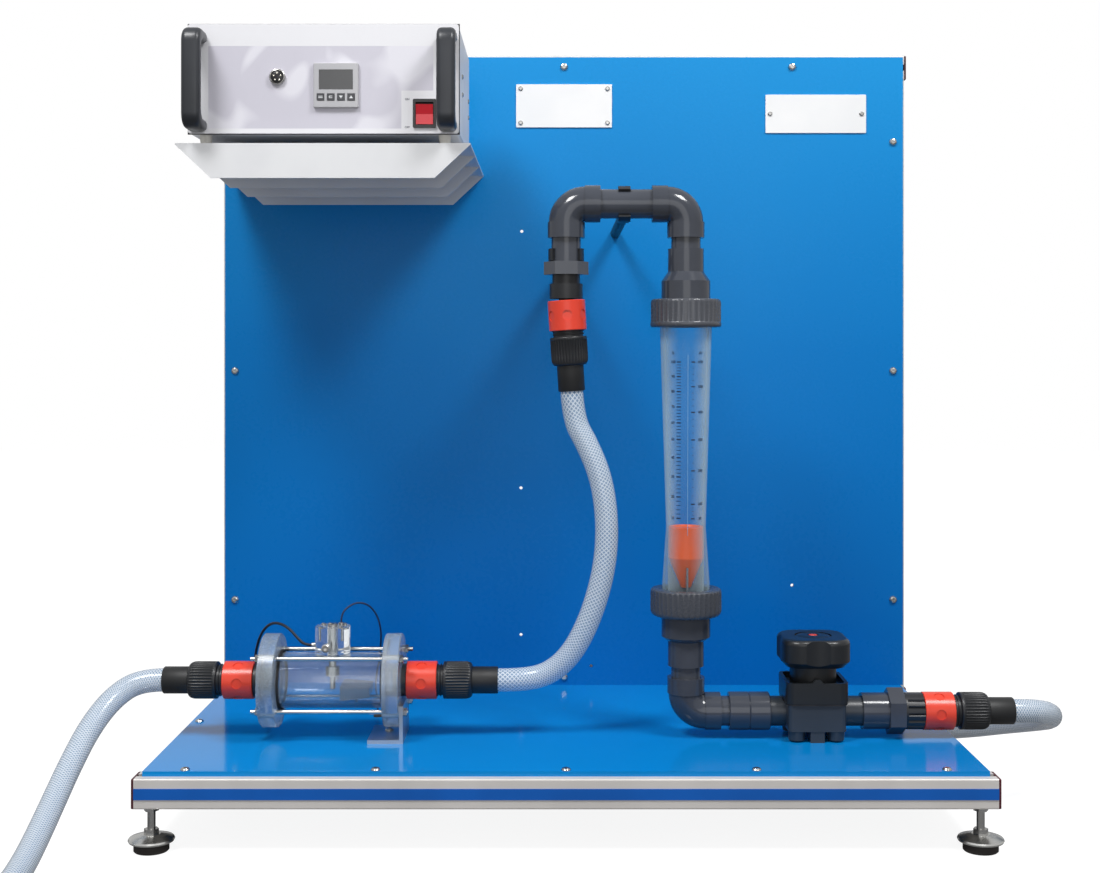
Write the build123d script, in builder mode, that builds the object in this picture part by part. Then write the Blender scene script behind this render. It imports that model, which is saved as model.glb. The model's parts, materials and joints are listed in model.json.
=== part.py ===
from build123d import *
from math import cos, pi, radians, sin, sqrt, tan
import os

os.makedirs("parts", exist_ok=True)

# Bench unit for a vortex flow meter, in millimetres.
# X runs to the right seen from the front, Y to the back, Z up from the floor.
# The origin is the middle of the footprint on the floor.

# Slotted beams and plates
frame_width = 860.0
frame_depth = 440.0
back_height = 790.0
foot_height = 45.0
beam = 30.0
beam_corner = 1.5
slot_opening = 8.2
slot_depth = 9.0
slot_lip = 2.2
undercut_width = 15.0
undercut_depth = 4.0
core_bore = 6.8
cap_thickness = 2.5
butt_gap = 0.05
strip_height = 11.0
strip_thickness = 0.8
plate_thickness = 5.0
plate_side_inset = 8.5
plate_front_inset = 10.0
panel_thickness = 5.0
panel_side_inset = 5.0
panel_top_inset = 3.0
spare_hole = 4.0
bracket_leg = 28.0
bracket_width = 26.0
bracket_wall = 4.0

# Button-head and pan-head screws, and their holes
screw_shank = 5.0
screw_head = 9.5
screw_head_height = 2.75
screw_length = 12.0
screw_hole = 5.6
small_shank = 3.0
small_head = 5.6
small_head_height = 1.7
small_length = 6.0
small_hole = 3.4
base_screw_pitch = 190.0
base_side_screw_y = -5.0
panel_screw_x = 286.0
panel_side_screws = (107.0, 394.0, 681.0)

# Levelling feet
foot_inset = 14.0
pad_diameter = 35.0
pad_height = 13.0
disc_diameter = 46.0
disc_hub_rise = 4.0
stud_diameter = 8.0
foot_nut = 13.0
foot_nut_height = 5.0
slot_nut_height = 3.6
thread_play = 0.1

# White plates on the panel
plate_sheet = 1.5
title_size = (120.0, 54.0)
title_centre = (0.0, 726.0)
badge_size = (126.0, 48.0)
badge_centre = (315.5, 716.0)

# Console and its shelf
shelf_left = -415.0
shelf_width = 314.0
shelf_height = 639.0
shelf_reach = 292.0
shelf_sheet = 1.5
rib_height = 37.0
rib_cut = 38.0
shelf_screw_height = 620.0
shelf_screw_inset = 60.0
console_left = -404.0
console_width = 290.0
console_height = 117.0
console_depth = 190.0
console_front_gap = 280.0
console_foot_height = 12.0
console_foot_diameter = 14.0
console_foot_inset = 16.0
case_wall = 1.5
case_corner = 3.0
fascia_thickness = 3.0
case_screws = ((56.0, 70.6), (56.0, 50.6), (170.0, 62.0), (170.0, 43.0))
handle_width = 20.0
handle_height = 107.0
handle_lift = 1.0
handle_reach = 40.0
handle_bar = 13.0
handle_bend = 16.0
handle_inset = 11.5

# Digital indicator, mains switch, sensor socket and mains inlet
meter_size = 48.0
meter_place = (159.0, 51.0)
meter_body = 44.8
meter_proud = 4.0
meter_depth = 70.0
lens_size = (36.4, 21.4)
lens_rise = 6.0
lens_recess = 1.2
button_size = (7.6, 7.2)
button_pitch = 10.9
button_drop = 12.7
button_well = 3.0
button_proud = 0.5
button_play = 0.35
button_travel = 0.5
switch_size = (25.0, 31.0)
switch_place = (253.4, 21.2)
switch_body = (21.8, 27.8)
switch_proud = 2.0
switch_depth = 24.0
rocker_size = (18.2, 21.2)
rocker_play = (0.5, 1.6)
rocker_tilt = 8.0
rocker_rise = 8.0
rocker_dip = 6.6
pivot_depth = 6.5
pivot_diameter = 3.0
pivot_length = 1.3
socket_place = (96.1, 60.2)
socket_flange = 15.0
socket_barrel = 11.6
socket_bore = 9.2
socket_depth = 13.0
pin_diameter = 1.0
pin_circle = 5.2
pin_length = 4.0
inlet_place = (250.0, 34.0)
inlet_flange = (50.0, 23.0)
inlet_body = (27.5, 19.5)
inlet_mouth = (24.0, 16.0)
inlet_depth = 17.0
blade_size = (2.0, 4.0)
blade_pitch = 7.0
blade_length = 9.0
fit_play = 0.2

# Vortex meter
pipe_reach = 255.0
meter_axis = 61.0
flange_left = -327.0
flange_diameter = 100.0
flange_thickness = 18.0
tube_length = 120.0
tube_outer = 60.0
tube_inner = 50.0
tube_seat = 3.0
rod_diameter = 5.0
rod_circle = 80.0
rod_proud = 9.0
rod_nut = 8.0
rod_nut_height = 4.0
seal_section = 3.0
head_x = -252.4
head_diameter = 38.0
head_height = 28.5
head_neck = 24.0
head_screw_circle = 32.0
head_screw_depth = 14.0
probe_diameter = 8.0
probe_reach = 10.0
probe_boss = (15.0, 10.0)
probe_tip = (6.0, 15.0)
probe_cap = 11.0
port_offset = 4.75
port_rise = 8.0
port_diameter = 9.0
port_depth = 8.0
gland_offset = (8.5, 4.5)
gland_thread = 4.0
gland_nut = 6.0
gland_length = 3.6
shedder_x = -226.25
shedder_length = 31.5
shedder_height = 13.7
shedder_tail = 9.0
shedder_face = 4.0
shedder_drop = 9.75
shedder_pin = 3.0
angle_width = 68.0
angle_height = 40.0
angle_reach = 38.0
angle_wall = 4.0
angle_screw_y = 10.0

# Hose couplings and hoses
spigot_outer = 16.0
spigot_length = 12.0
nipple_bore = 11.0
nipple_thread = 24.0
nipple_seat = 8.0
collar_outer = 35.0
inlet_collar = 9.5
outlet_collar = 5.0
leg_collar = (30.0, 10.0)
leg_ring = (36.0, 16.0)
end_collar = (39.5, 21.0)
sleeve_length = 33.0
sleeve_outer = 40.5
sleeve_gap = 0.5
coupling_body = 35.0
slide_play = 0.05
neck_length = 7.0
neck_groove = 1.2
hose_nut_length = 31.0
hose_nut_outer = 40.0
hose_nut_ribs = 16
tail_length = 28.0
tail_outer = 29.0
tail_bore = 14.0
dimple_diameter = 11.0
dimple_depth = 1.2
coupling_tilt = 3.5
coupling_gap = 1.4
hose_diameter = 25.0
end_tail_length = 16.0
end_nut = (32.0, 22.0)
end_thread = (24.0, 14.0)
left_wire = 3.0
right_wire = 2.0
grommet_diameter = 8.0
grommet_flange = 10.0
wire_depth = 4.0
wire_holes = ((-336.0, 20.0), (-214.0, 20.0))

# Pipework
pipe_diameter = 32.0
pipe_bore = 27.2
socket_outer = 40.4
socket_seat = 17.0
elbow_arm = 37.0
elbow_bend = 20.0
elbow_section = 38.0
low_axis = 27.6
high_axis = 578.0
left_leg_x = 1.0
right_leg_x = 131.0
glue_play = 0.05
adaptor_height = 501.0
adaptor_hex = 42.0
adaptor_length = 14.0
adaptor_thread = 4.0
clip_x = 64.0
clip_drop = 12.0
clip_width = 13.0
clip_wall = 3.3
clip_opening = 100.0
clip_block = 4.0
clip_rod = 12.0
clip_play = 0.1
leg_clip_height = 522.5
coupler_length = 44.0
coupler_outer = 41.0
coupler_stop = 2.0
end_socket = (39.0, 28.0)
end_hex = (44.0, 17.0)

# Variable-area meter
cone_bottom = 148.6
cone_top = 456.0
cone_collar = 64.0
cone_collar_height = 8.0
cone_foot = 51.2
cone_foot_top = 166.0
cone_waist = 43.0
cone_waist_height = 228.0
cone_mouth = 56.0
cone_mouth_height = 441.0
cone_bore = 39.6
cone_bore_top = 51.2
float_play = 0.3
float_bottom = 162.0
float_shoulder = 194.3
float_top = 228.0
float_tip = 10.8
stop_fin = 2.0
stop_fin_top = 185.0
nut_diameter = 77.0
nut_lip = 4.0
nut_edge = 2.0
nut_round = 5.0
nut_ribs = 24
rib_depth = 1.2
high_flange_length = 18.5
low_flange_length = 17.0
union_collar = 53.0
high_collar_length = 19.5
low_collar_length = 24.6
union_cone = 10.0
union_socket = 25.0
low_socket = 77.0
seal_inset = 0.5
seal_width = 3.0
seal_height = 2.0

# Diaphragm valve
valve_x = 269.0
valve_block = 62.0
valve_corner = 5.0
valve_block_bottom = 12.0
valve_block_top = 40.0
valve_foot = 15.0
valve_foot_length = 60.0
valve_spigot = 38.0
valve_bore = 20.0
valve_chamber = (46.0, 28.0)
weir_top = 34.0
weir_crest = 3.0
weir_foot = 8.0
bolt_cap = 19.0
bolt_cap_drop = 10.0
bolt_cap_offset = 21.0
diaphragm_thickness = 2.0
bonnet_size = 67.0
bonnet_corner = 10.0
bonnet_height = 22.0
bonnet_wall = 4.0
bonnet_recess = 6.0
bonnet_neck = 50.0
bonnet_top = 79.0
bonnet_lug = 12.0
wheel_size = 74.0
wheel_corner = 22.0
wheel_height = 30.5
wheel_round = 6.0
wheel_scallop = 3.0
wheel_gap = 0.4
wheel_recess = (40.0, 5.0)
spindle_diameter = 10.0
compressor_diameter = 26.0
compressor_height = 8.0
spindle_travel = 8.0
indicator_rise = 1.0

# Places worked out from the sizes above
front_y = -frame_depth / 2
rear_y = frame_depth / 2
beam_end = frame_width / 2 - cap_thickness
post_x = beam_end - beam / 2
inner_x = beam_end - beam
front_beam_y = front_y + beam / 2
rear_beam_y = rear_y - beam / 2
panel_back = rear_y - beam
panel_front = panel_back - panel_thickness
base_z = foot_height + beam / 2
plate_bottom = foot_height + beam
plate_top = plate_bottom + plate_thickness
rail_z = plate_bottom + beam / 2
top_z = plate_top + back_height
top_beam_z = top_z - beam / 2
pipe_y = panel_front - pipe_reach
axis_z = plate_top + meter_axis
low_z = plate_top + low_axis
high_z = plate_top + high_axis
flange_right = flange_left + flange_thickness + tube_length - 2 * tube_seat
meter_end = flange_right + flange_thickness
coupling_length = sleeve_length + neck_length + hose_nut_length + tail_length

directions = {"+x": (1, 0, 0), "-x": (-1, 0, 0), "+y": (0, 1, 0), "-y": (0, -1, 0),
              "+z": (0, 0, 1), "-z": (0, 0, -1)}


def facing(x, y, z, way):
    """A place whose local Z points one way along an axis."""
    across = (0, 0, 1) if way[1] == "x" else (1, 0, 0)
    return Plane(origin=(x, y, z), x_dir=across, z_dir=directions[way])


def turn(outline, place, mode=Mode.ADD):
    """Turns a closed outline of (radius, height) points about the local Z of a place."""
    with BuildSketch(Plane(origin=place.origin, x_dir=place.x_dir, z_dir=-place.y_dir)) as profile:
        with BuildLine():
            Polyline(*outline, close=True)
        make_face()
    revolve(profile.sketch, axis=Axis(place.origin, place.z_dir), mode=mode)


def rod(place, diameter, low, high, mode=Mode.ADD):
    """A round bar, or a bored hole, from one height to another along the local Z."""
    turn([(0, low), (diameter / 2, low), (diameter / 2, high), (0, high)], place, mode)


def ring(place, inner, outer, low, high):
    """A plain tube section between two diameters."""
    turn([(inner / 2, low), (outer / 2, low), (outer / 2, high), (inner / 2, high)], place)


def hexagon(place, flats, low, high, bore=0.0):
    """A hexagon bar or nut of a given width across flats."""
    with BuildSketch(place.offset(low)) as profile:
        RegularPolygon(flats / 2, 6, major_radius=False)
        if bore:
            Circle(bore / 2, mode=Mode.SUBTRACT)
    extrude(profile.sketch, amount=high - low)


def block(place, width, height, low, high, mode=Mode.ADD, corner=0.0):
    """A bar of rectangular section on the local XY plane, from one height to another."""
    with BuildSketch(place.offset(low)) as profile:
        if corner:
            RectangleRounded(width, height, corner)
        else:
            Rectangle(width, height)
    extrude(profile.sketch, amount=high - low, mode=mode)


def button_screw(place, length=screw_length):
    """A button-head screw: domed head above the local XY plane, with a hexagon socket."""
    head, top = screw_head / 2, screw_head_height
    turn([(0, -length), (screw_shank / 2, -length), (screw_shank / 2, 0), (head, 0), (head, top * 0.3),
          (head * 0.8, top * 0.8), (head * 0.5, top), (0, top)], place)
    with BuildSketch(place.offset(top)) as socket:
        RegularPolygon(screw_shank * 0.3, 6)
    extrude(socket.sketch, amount=-top * 0.6, mode=Mode.SUBTRACT)


def small_screw(place, length=small_length):
    """A pan-head screw: low domed head above the local XY plane."""
    head, top = small_head / 2, small_head_height
    turn([(0, -length), (small_shank / 2, -length), (small_shank / 2, 0), (head, 0), (head, top * 0.5),
          (head * 0.6, top), (0, top)], place)


def grooves(place, outer, low, high, count):
    """V grooves cut lengthwise all round a grip."""
    with BuildSketch(place.offset(low)) as cuts:
        with PolarLocations(outer / 2, count):
            Rectangle(2 * rib_depth, 2 * rib_depth, rotation=45)
    extrude(cuts.sketch, amount=high - low, mode=Mode.SUBTRACT)


# Slotted aluminium beams: the base cross beams and side beams, then the back frame
with BuildSketch() as beam_section:
    RectangleRounded(beam, beam, beam_corner)
    with PolarLocations(beam / 2 - slot_depth / 2, 4):
        Rectangle(slot_depth, slot_opening, mode=Mode.SUBTRACT)
    with PolarLocations(beam / 2 - slot_lip - undercut_depth / 2, 4):
        Rectangle(undercut_depth, undercut_width, mode=Mode.SUBTRACT)
    Circle(core_bore / 2, mode=Mode.SUBTRACT)

with BuildPart() as base_beams:
    for y in (front_beam_y, rear_beam_y):
        with BuildSketch(facing(-beam_end, y, base_z, "+x")):
            add(beam_section.sketch)
        extrude(amount=2 * beam_end)
    for x in (-post_x, post_x):
        with BuildSketch(facing(x, front_y + beam + butt_gap, base_z, "+y")):
            add(beam_section.sketch)
        extrude(amount=frame_depth - 2 * beam - 2 * butt_gap)
base_beams.part.label = "base_beams"
export_step(base_beams.part, "parts/base_beams.step")

with BuildPart() as back_beams:
    for x in (-post_x, post_x):
        with BuildSketch(facing(x, rear_beam_y, plate_bottom, "+z")):
            add(beam_section.sketch)
        extrude(amount=top_z - beam - butt_gap - plate_bottom)
    with BuildSketch(facing(-beam_end, rear_beam_y, top_beam_z, "+x")):
        add(beam_section.sketch)
    extrude(amount=2 * beam_end)
    with BuildSketch(facing(-inner_x + butt_gap, rear_beam_y, rail_z, "+x")):
        add(beam_section.sketch)
    extrude(amount=2 * (inner_x - butt_gap))
back_beams.part.label = "back_beams"
export_step(back_beams.part, "parts/back_beams.step")

# Moulded caps close the ends of the three full-width beams, each with a peg in the core bore
with BuildPart() as beam_end_caps:
    for side, way in ((-1, "-x"), (1, "+x")):
        for y, z in ((front_beam_y, base_z), (rear_beam_y, base_z), (rear_beam_y, top_beam_z)):
            with BuildSketch(facing(side * beam_end, y, z, way)):
                RectangleRounded(beam, beam, beam_corner)
            extrude(amount=cap_thickness, taper=8)
            rod(facing(side * beam_end, y, z, way), core_bore - 2 * thread_play, -beam / 2, 0)
beam_end_caps.part.label = "beam_end_caps"
export_step(beam_end_caps.part, "parts/beam_end_caps.step")

# Plastic strip snapped into the front slot
with BuildPart() as slot_cover_strip:
    with BuildSketch(facing(-beam_end, front_y, base_z, "+x")):
        with Locations((0, strip_thickness / 2)):
            Rectangle(strip_height, strip_thickness)
        with Locations((0, -slot_lip / 2)):
            Rectangle(slot_opening - 2 * thread_play, slot_lip)
    extrude(amount=2 * beam_end)
slot_cover_strip.part.label = "slot_cover_strip"
export_step(slot_cover_strip.part, "parts/slot_cover_strip.step")

# Cast corner angles: two walls and a gusset at each edge
with BuildPart() as corner_angle:
    with BuildSketch(Plane.XZ.offset(-bracket_width / 2)):
        with BuildLine():
            Polyline((0, 0), (bracket_leg, 0), (bracket_leg, bracket_wall), (bracket_wall, bracket_leg),
                     (0, bracket_leg), close=True)
        make_face()
    extrude(amount=bracket_width)
    with BuildSketch(Plane.XZ.offset(-bracket_width / 2 + bracket_wall)):
        with BuildLine():
            Polyline((bracket_wall, bracket_wall), (bracket_leg, bracket_wall), (bracket_leg, bracket_leg),
                     (bracket_wall, bracket_leg), close=True)
        make_face()
    extrude(amount=bracket_width - 2 * bracket_wall, mode=Mode.SUBTRACT)

angle_places = []
for side in (-1, 1):
    for z, up in ((rail_z + beam / 2, 1), (top_z - beam, -1)):
        angle_places.append(Plane((side * inner_x, rear_beam_y, z), x_dir=(-side, 0, 0), z_dir=(0, 0, up)))
    for y, way in ((front_y + beam, 1), (panel_back, -1)):
        angle_places.append(Plane((side * inner_x, y, base_z), x_dir=(-side, 0, 0), z_dir=(0, way, 0)))
with BuildPart() as corner_brackets:
    with Locations(*angle_places):
        add(corner_angle.part)
corner_brackets.part.label = "corner_brackets"
export_step(corner_brackets.part, "parts/corner_brackets.step")

# Where the plates, the panel and the shelf are screwed down
shelf_centre = shelf_left + shelf_width / 2
angle_screw = (meter_end + angle_wall - angle_reach / 2, pipe_y + angle_screw_y)
panel_spots = [(x, z) for z in (top_beam_z, rail_z) for x in (-panel_screw_x, 0, panel_screw_x)]
panel_spots += [(side * post_x, plate_top + h) for side in (-1, 1) for h in panel_side_screws]
shelf_screw_x = shelf_width / 2 - shelf_screw_inset
shelf_spots = [(shelf_centre + side * shelf_screw_x, plate_top + shelf_screw_height) for side in (-1, 1)]
base_spots = [(base_screw_pitch * i, front_beam_y) for i in range(-2, 3)]
base_spots += [(side * post_x, base_side_screw_y) for side in (-1, 1)]
plate_spots = []
for sx in (-1, 1):
    plate_spots.append((badge_centre[0] + sx * (badge_size[0] / 2 - small_head), plate_top + badge_centre[1]))
    for sz in (-1, 1):
        plate_spots.append((title_centre[0] + sx * (title_size[0] / 2 - small_head),
                            plate_top + title_centre[1] + sz * (title_size[1] / 2 - small_head)))

with BuildPart() as base_plate:
    plate_length = panel_back - front_y - plate_front_inset
    with BuildSketch(Plane.XY.offset(plate_bottom)):
        with Locations((0, panel_back - plate_length / 2)):
            Rectangle(frame_width - 2 * plate_side_inset, plate_length)
        with Locations(angle_screw, *base_spots):
            Circle(screw_hole / 2, mode=Mode.SUBTRACT)
        with Locations(*wire_holes):
            Circle(grommet_diameter / 2 + thread_play, mode=Mode.SUBTRACT)
    extrude(amount=plate_thickness)
base_plate.part.label = "base_plate"
export_step(base_plate.part, "parts/base_plate.step")

# Small plain holes are left in the panel for other fittings
spare_holes = ((-54.0, 247.0), (-54.0, 63.0), (-53.0, 569.0), (34.0, 24.0), (286.0, 125.0))
panel_height = back_height - panel_top_inset
with BuildPart() as back_panel:
    with BuildSketch(facing(0, panel_back, plate_top, "-y")):
        with Locations((0, panel_height / 2)):
            Rectangle(frame_width - 2 * panel_side_inset, panel_height)
        with Locations(*[(x, z - plate_top) for x, z in panel_spots + shelf_spots]):
            Circle(screw_hole / 2, mode=Mode.SUBTRACT)
        with Locations(*[(x, z - plate_top) for x, z in plate_spots]):
            Circle(small_hole / 2, mode=Mode.SUBTRACT)
        with Locations(*spare_holes):
            Circle(spare_hole / 2, mode=Mode.SUBTRACT)
    extrude(amount=panel_thickness)
back_panel.part.label = "back_panel"
export_step(back_panel.part, "parts/back_panel.step")

# Levelling feet: pressed disc, stud with its hexagon, lock nut and slot nut
foot_spots = [(sx * (beam_end - foot_inset), y) for sx in (-1, 1) for y in (front_beam_y, rear_beam_y)]
disc_radius = disc_diameter / 2
pad_radius = pad_diameter / 2
hub_top = pad_height + disc_hub_rise
stud_top = foot_height + slot_depth - 1

with BuildPart() as foot_discs:
    stud_hole = stud_diameter / 2 + thread_play
    for x, y in foot_spots:
        turn([(stud_hole, pad_height), (pad_radius - 1.5, pad_height), (disc_radius - 2.6, pad_height - 1.6),
              (disc_radius - 2.2, pad_height - 3.2), (disc_radius - 0.8, pad_height - 3.2),
              (disc_radius, pad_height - 1.6), (disc_radius - 0.8, pad_height),
              (disc_radius * 0.65, hub_top - 1.6), (disc_radius * 0.4, hub_top),
              (stud_hole, hub_top)], facing(x, y, 0, "+z"))
foot_discs.part.label = "foot_discs"
export_step(foot_discs.part, "parts/foot_discs.step")

with BuildPart() as foot_studs:
    for x, y in foot_spots:
        rod(facing(x, y, 0, "+z"), stud_diameter, pad_height, stud_top)
        hexagon(facing(x, y, 0, "+z"), foot_nut, hub_top, hub_top + foot_nut_height)
        under = facing(x, y, foot_height, "+z")
        hexagon(under, foot_nut, -foot_nut_height, 0, 2 * stud_hole)
        block(under, foot_nut, undercut_width - 1, slot_lip, slot_lip + slot_nut_height)
        rod(under, 2 * stud_hole, slot_lip, slot_lip + slot_nut_height, Mode.SUBTRACT)
foot_studs.part.label = "foot_studs"
export_step(foot_studs.part, "parts/foot_studs.step")

# Blank white plates on the panel
with BuildPart() as name_plates:
    for size, centre in ((title_size, title_centre), (badge_size, badge_centre)):
        block(facing(centre[0], panel_front, plate_top + centre[1], "-y"), size[0], size[1], 0, plate_sheet,
              corner=1)
    with BuildSketch(facing(0, panel_front, 0, "-y")):
        with Locations(*plate_spots):
            Circle(small_hole / 2)
    extrude(amount=plate_sheet, mode=Mode.SUBTRACT)
name_plates.part.label = "name_plates"
export_step(name_plates.part, "parts/name_plates.step")

# Sheet-metal shelf: a tray on four upright ribs with sloping ends, the last one screwed to the panel
shelf_top = plate_top + shelf_height
shelf_front = panel_front - shelf_reach
tray_bottom = shelf_top - shelf_sheet
rib_foot = shelf_sheet - rib_height
with BuildPart() as console_shelf:
    block(facing(shelf_centre, (shelf_front + panel_front) / 2, 0, "+z"), shelf_width, shelf_reach,
          tray_bottom, shelf_top)
    for i in range(4):
        rib_y = shelf_front + shelf_sheet + i * (shelf_reach - shelf_sheet) / 3
        with BuildSketch(facing(shelf_centre, rib_y, tray_bottom, "-y")):
            with BuildLine():
                Polyline((-shelf_width / 2, 0), (shelf_width / 2, 0), (shelf_width / 2 - rib_cut, rib_foot),
                         (rib_cut - shelf_width / 2, rib_foot), close=True)
            make_face()
        extrude(amount=shelf_sheet)
    with BuildSketch(facing(0, panel_front, 0, "-y")):
        with Locations(*shelf_spots):
            Circle(screw_hole / 2)
    extrude(amount=shelf_sheet, mode=Mode.SUBTRACT)
console_shelf.part.label = "console_shelf"
export_step(console_shelf.part, "parts/console_shelf.step")

# Console: folded case open at the front, and the fascia
console_front = panel_front - console_front_gap
console_bottom = shelf_top + console_foot_height
console_right = console_left + console_width
console_x = console_left + console_width / 2
console_z = console_bottom + console_height / 2
case_front = console_front + fascia_thickness
case_back = console_front + console_depth
case_depth = case_back - case_front


def on_fascia(place):
    """A place on the front of the fascia, given from its lower left corner, facing out."""
    return facing(console_left + place[0], console_front, console_bottom + place[1], "-y")


case_screw_places = []
for y, z in case_screws:
    case_screw_places.append(facing(console_left, console_front + y, console_bottom + z, "-x"))
    case_screw_places.append(facing(console_right, console_front + y, console_bottom + z, "+x"))

inlet_plane = facing(console_left + inlet_place[0], case_back, console_bottom + inlet_place[1], "+y")
with BuildPart() as console_case:
    case_plane = facing(console_x, case_front, console_z, "+y")
    block(case_plane, console_width, console_height, 0, case_depth, corner=case_corner)
    block(case_plane, console_width - 2 * case_wall, console_height - 2 * case_wall, 0,
          case_depth - case_wall, Mode.SUBTRACT, case_corner - case_wall)
    for place in case_screw_places:
        rod(place, small_hole, -2 * case_wall, 1, Mode.SUBTRACT)
    block(inlet_plane, inlet_body[0] + 2 * fit_play, inlet_body[1] + 2 * fit_play, -2 * case_wall, 1,
          Mode.SUBTRACT)
console_case.part.label = "console_case"
export_step(console_case.part, "parts/console_case.step")

with BuildPart() as console_fascia:
    block(facing(console_x, case_front, console_z, "-y"), console_width, console_height, 0, fascia_thickness,
          corner=case_corner)
    cut = fascia_thickness + 1
    block(on_fascia(meter_place), meter_body + 2 * fit_play, meter_body + 2 * fit_play, -cut, 1,
          Mode.SUBTRACT)
    block(on_fascia(switch_place), switch_body[0] + 2 * fit_play, switch_body[1] + 2 * fit_play, -cut, 1,
          Mode.SUBTRACT)
    rod(on_fascia(socket_place), socket_barrel + 2 * fit_play, -cut, 1, Mode.SUBTRACT)
console_fascia.part.label = "console_fascia"
export_step(console_fascia.part, "parts/console_fascia.step")

# Rubber pads under the levelling feet, and the console's four rubber feet
with BuildPart() as rubber_feet:
    for x, y in foot_spots:
        turn([(0, 0), (pad_radius - 1, 0), (pad_radius, 1), (pad_radius, pad_height - 3),
              (pad_radius - 2.5, pad_height - 1), (pad_radius - 2.5, pad_height), (0, pad_height)],
             facing(x, y, 0, "+z"))
    foot_radius = console_foot_diameter / 2
    for x in (console_left + console_foot_inset, console_right - console_foot_inset):
        for y in (console_front + console_foot_inset, case_back - console_foot_inset):
            turn([(0, 0), (foot_radius - 1.5, 0), (foot_radius, console_foot_height),
                  (0, console_foot_height)],
                 facing(x, y, shelf_top, "+z"))
rubber_feet.part.label = "rubber_feet"
export_step(rubber_feet.part, "parts/rubber_feet.step")

# Bow handles screwed to the fascia
with BuildPart() as console_handles:
    handle_z = console_bottom + handle_lift + handle_height / 2
    for x in (console_left + handle_inset, console_right - handle_inset):
        with BuildSketch(facing(x - handle_width / 2, console_front, handle_z, "+x")):
            with Locations((0, handle_reach / 2)):
                Rectangle(handle_height, handle_reach)
            fillet(vertices().group_by(Axis.Y)[-1], radius=handle_bend)
            RectangleRounded(handle_height - 2 * handle_bar, 2 * (handle_reach - handle_bar),
                             handle_bend - handle_bar / 2, mode=Mode.SUBTRACT)
        extrude(amount=handle_width)
console_handles.part.label = "console_handles"
export_step(console_handles.part, "parts/console_handles.step")

# Digital indicator: bezel with a body behind the fascia, window and four keys
meter_plane = on_fascia(meter_place)
lens_plane = on_fascia((meter_place[0], meter_place[1] + lens_rise))
button_spots = [(button_pitch * (i - 1.5), -button_drop) for i in range(4)]
with BuildPart() as panel_meter:
    block(meter_plane, meter_size, meter_size, 0, meter_proud, corner=1.5)
    chamfer(faces().sort_by(Axis.Y)[0].edges(), length=0.8)
    block(meter_plane, meter_body, meter_body, -meter_depth, 0)
    block(lens_plane, lens_size[0], lens_size[1], meter_proud - lens_recess, meter_proud, Mode.SUBTRACT)
    with BuildSketch(meter_plane.offset(meter_proud)):
        with Locations(*button_spots):
            Rectangle(button_size[0] + 2 * button_play, button_size[1] + 2 * button_play)
    extrude(amount=-button_well, mode=Mode.SUBTRACT)
panel_meter.part.label = "panel_meter"
export_step(panel_meter.part, "parts/panel_meter.step")

with BuildPart() as display_window:
    block(lens_plane, lens_size[0] - fit_play, lens_size[1] - fit_play, meter_proud - lens_recess,
          meter_proud - fit_play)
display_window.part.label = "display_window"
export_step(display_window.part, "parts/display_window.step")


def meter_key(spot):
    """One key, resting just over its travel above the floor of its well."""
    low = meter_proud - button_well + button_travel + fit_play
    with BuildSketch(meter_plane.offset(low)) as key:
        with Locations(spot):
            RectangleRounded(button_size[0], button_size[1], 0.8)
    extrude(key.sketch, amount=meter_proud + button_proud - low)


with BuildPart() as meter_button_1:
    meter_key(button_spots[0])
meter_button_1.part.label = "meter_button_1"
export_step(meter_button_1.part, "parts/meter_button_1.step")

with BuildPart() as meter_button_2:
    meter_key(button_spots[1])
meter_button_2.part.label = "meter_button_2"
export_step(meter_button_2.part, "parts/meter_button_2.step")

with BuildPart() as meter_button_3:
    meter_key(button_spots[2])
meter_button_3.part.label = "meter_button_3"
export_step(meter_button_3.part, "parts/meter_button_3.step")

with BuildPart() as meter_button_4:
    meter_key(button_spots[3])
meter_button_4.part.label = "meter_button_4"
export_step(meter_button_4.part, "parts/meter_button_4.step")

# Mains switch: frame with a well, and a rocker on two pins
switch_plane = on_fascia(switch_place)
pivot_level = switch_proud - pivot_depth
well = (rocker_size[0] + 2 * rocker_play[0], rocker_size[1] + 2 * rocker_play[1])
pivot_plane = facing(console_left + switch_place[0], console_front - pivot_level,
                     console_bottom + switch_place[1], "+x")
with BuildPart() as switch_frame:
    block(switch_plane, switch_size[0], switch_size[1], 0, switch_proud, corner=1.5)
    block(switch_plane, switch_body[0], switch_body[1], -switch_depth, 0)
    block(switch_plane, well[0], well[1], pivot_level - 3, switch_proud, Mode.SUBTRACT)
    rod(pivot_plane, pivot_diameter + 2 * slide_play, -switch_body[0], switch_body[0], Mode.SUBTRACT)
switch_frame.part.label = "switch_frame"
export_step(switch_frame.part, "parts/switch_frame.step")

# The rocker's faces meet in a shallow dip; it stands tipped to its lower side
with BuildPart() as power_rocker:
    half = rocker_size[1] / 2
    lean = radians(rocker_tilt)
    rocker_plane = Plane(origin=pivot_plane.origin, x_dir=(0, -sin(lean), cos(lean)), z_dir=(1, 0, 0))
    with BuildSketch(rocker_plane.offset(-rocker_size[0] / 2)):
        with BuildLine():
            Polyline((-half * 0.4, -1.5), (-half, 2.5), (-half, rocker_rise), (0, rocker_dip),
                     (half, rocker_rise), (half, 2.5), (half * 0.4, -1.5), close=True)
        make_face()
    extrude(amount=rocker_size[0])
    pin_reach = rocker_size[0] / 2 + pivot_length
    rod(pivot_plane, pivot_diameter, -pin_reach, pin_reach)
power_rocker.part.label = "power_rocker"
export_step(power_rocker.part, "parts/power_rocker.step")

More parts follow.
